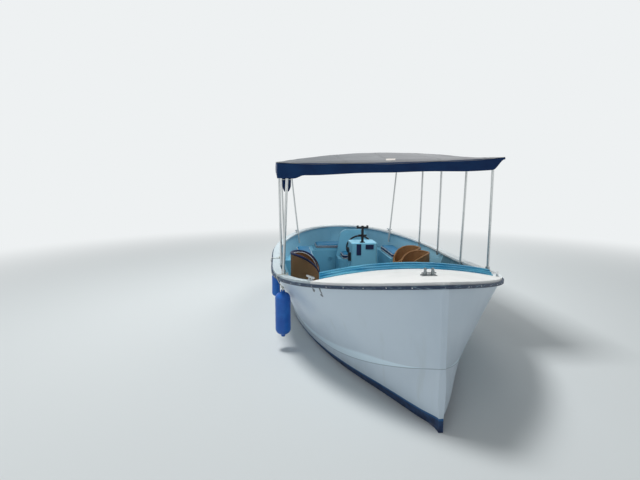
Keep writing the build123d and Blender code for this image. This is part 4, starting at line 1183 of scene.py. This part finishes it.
def makeVent():
    centre, radius, sides = Vector(vent["place"]), vent["radius"], vent["sides"]
    work = bmesh.new()
    rings = [[work.verts.new(centre + Vector((rise, radius * share * math.sin(a),
                                              radius * share * math.cos(a))))
              for a in turns(sides)] for share, rise in vent["rim"]]
    for inner, outer in zip(rings, rings[1:]):
        for k in range(sides):
            work.faces.new((inner[k], inner[(k + 1) % sides], outer[(k + 1) % sides], outer[k]))
    thickness, depth = vent["slat"]
    for k in range(vent["slats"]):
        z = radius * vent["rim"][0][0] * ((k + 0.5) / vent["slats"] * 2 - 1)
        half = math.sqrt(max(0.0, (radius * 0.76) ** 2 - z ** 2))
        slat = bmesh.ops.create_cube(work, size=1.0)["verts"]
        bmesh.ops.scale(work, vec=(thickness, half * 2, depth), verts=slat)
        bmesh.ops.rotate(work, verts=slat, matrix=Matrix.Rotation(math.radians(vent["tilt"]), 3, "Y"))
        bmesh.ops.translate(work, vec=centre + Vector((0.0022, 0, z)), verts=slat)
    bmesh.ops.recalc_face_normals(work, faces=work.faces)
    mesh = meshOf(work, "benchVent")
    mesh.materials.append(finishes["bench_gelcoat"])
    mesh.shade_smooth()
    fit(linked("benchVent", mesh))


makeRailScrews()
makeVent()
print("fittings placed")


# ---- stage, camera and lamps

stageLook = {"floor": "d5dadb", "world": "eef1f2", "light": "eef2f4", "strength": 0.36, "reach": 40.0,
             "fade": (3.2, 9.0)}
lamps = {"key": {"place": (0.2, -2.6, 8.6), "target": (0.2, 0, 0.8), "size": 2.2, "power": 530},
         "fill": {"place": (7.5, -3.5, 3.0), "target": (0.5, 0, 0.5), "size": 4.0, "power": 45},
         "back": {"place": (-6.0, 2.5, 5.0), "target": (-0.5, 0, 0.8), "size": 3.0, "power": 140},
         "underCanopy": {"place": (-0.6, 0.1, 1.62), "target": (-0.9, 0.1, 0), "size": 1.3, "power": 14}}
camera = {"place": (5.51, -1.041, 1.70), "ahead": (-0.9961, 0.0879), "pitch": 8.33, "lens": 26.97}


def makeFloor():  # at the waterline, with a hole where the hull's shell passes through it
    hull = skinOf(nodes["hull"].data)
    hole = []
    for s in np.linspace(0.06, 5.25, 60):
        x = along(float(s))
        inner = hull.ray_cast(Vector((x, 0.0, 0.001)), Vector((0, 1, 0)))
        if inner[0] is None:
            continue
        outer = hull.ray_cast(Vector((x, 3.0, 0.001)), Vector((0, -1, 0)))
        hole.append((x, max(0.004, (inner[0].y + outer[0].y) / 2)))
    ring = hole + [(x, -y) for x, y in reversed(hole)]
    vertices = [(x, y, 0.0) for x, y in ring]
    for x, y in ring:
        size = max(abs(x), abs(y), 1e-6)
        vertices.append((x / size * stageLook["reach"], y / size * stageLook["reach"], 0.0))
    f = Finish("stageFloor", Roughness=0.9, Specular_IOR_Level=0.0, Emission_Strength=1.0)
    x, y, z = f.axes()
    far = (x * x + y * y).step(stageLook["fade"][0] ** 2, stageLook["fade"][1] ** 2)
    material = f.feed(Base_Color=f.mix(far, stageLook["floor"], "000000"),
                      Emission_Color=f.mix(far, "000000", stageLook["world"]))
    newPiece("stageFloor", vertices, bandFaces(2, len(ring)), material, smooth=False)


def makeWorld():
    world = bpy.data.worlds.new("studio")
    bpy.context.scene.world = world
    world.use_nodes = True
    tree = world.node_tree
    lit, seen = tree.nodes["Background"], tree.nodes.new("ShaderNodeBackground")
    for back, tint, strength in ((lit, "light", stageLook["strength"]), (seen, "world", 1.0)):
        back.inputs["Color"].default_value = colour(stageLook[tint])
        back.inputs["Strength"].default_value = strength
    path = tree.nodes.new("ShaderNodeLightPath")
    either = tree.nodes.new("ShaderNodeMath")
    either.operation = "MAXIMUM"
    mixed = tree.nodes.new("ShaderNodeMixShader")
    for start, end in ((path.outputs["Is Camera Ray"], either.inputs[0]),
                       (path.outputs["Is Glossy Ray"], either.inputs[1]),
                       (either.outputs[0], mixed.inputs[0]), (lit.outputs[0], mixed.inputs[1]),
                       (seen.outputs[0], mixed.inputs[2]),
                       (mixed.outputs[0], tree.nodes["World Output"].inputs["Surface"])):
        tree.links.new(start, end)


def addLamp(name, look):
    data = bpy.data.lights.new(name, "AREA")
    data.energy, data.size = look["power"], look["size"]
    lamp = linked(name, data)
    lamp.location = look["place"]
    lamp.rotation_euler = (Vector(look["target"]) - Vector(look["place"])).to_track_quat("-Z", "Y").to_euler()
    lamp.visible_camera = lamp.visible_glossy = False


def makeCamera():
    data = bpy.data.cameras.new("view")
    data.sensor_width, data.lens = 36.0, camera["lens"]
    eye = linked("view", data)
    eye.location = camera["place"]
    tilt = math.radians(camera["pitch"])
    look = Vector((camera["ahead"][0] * math.cos(tilt), camera["ahead"][1] * math.cos(tilt), -math.sin(tilt)))
    eye.rotation_euler = look.to_track_quat("-Z", "Y").to_euler()
    bpy.context.scene.camera = eye


makeFloor()
makeWorld()
makeCamera()
for name, look in lamps.items():
    addLamp(name, look)
bpy.context.scene.view_settings.view_transform = "Standard"
print("stage set")
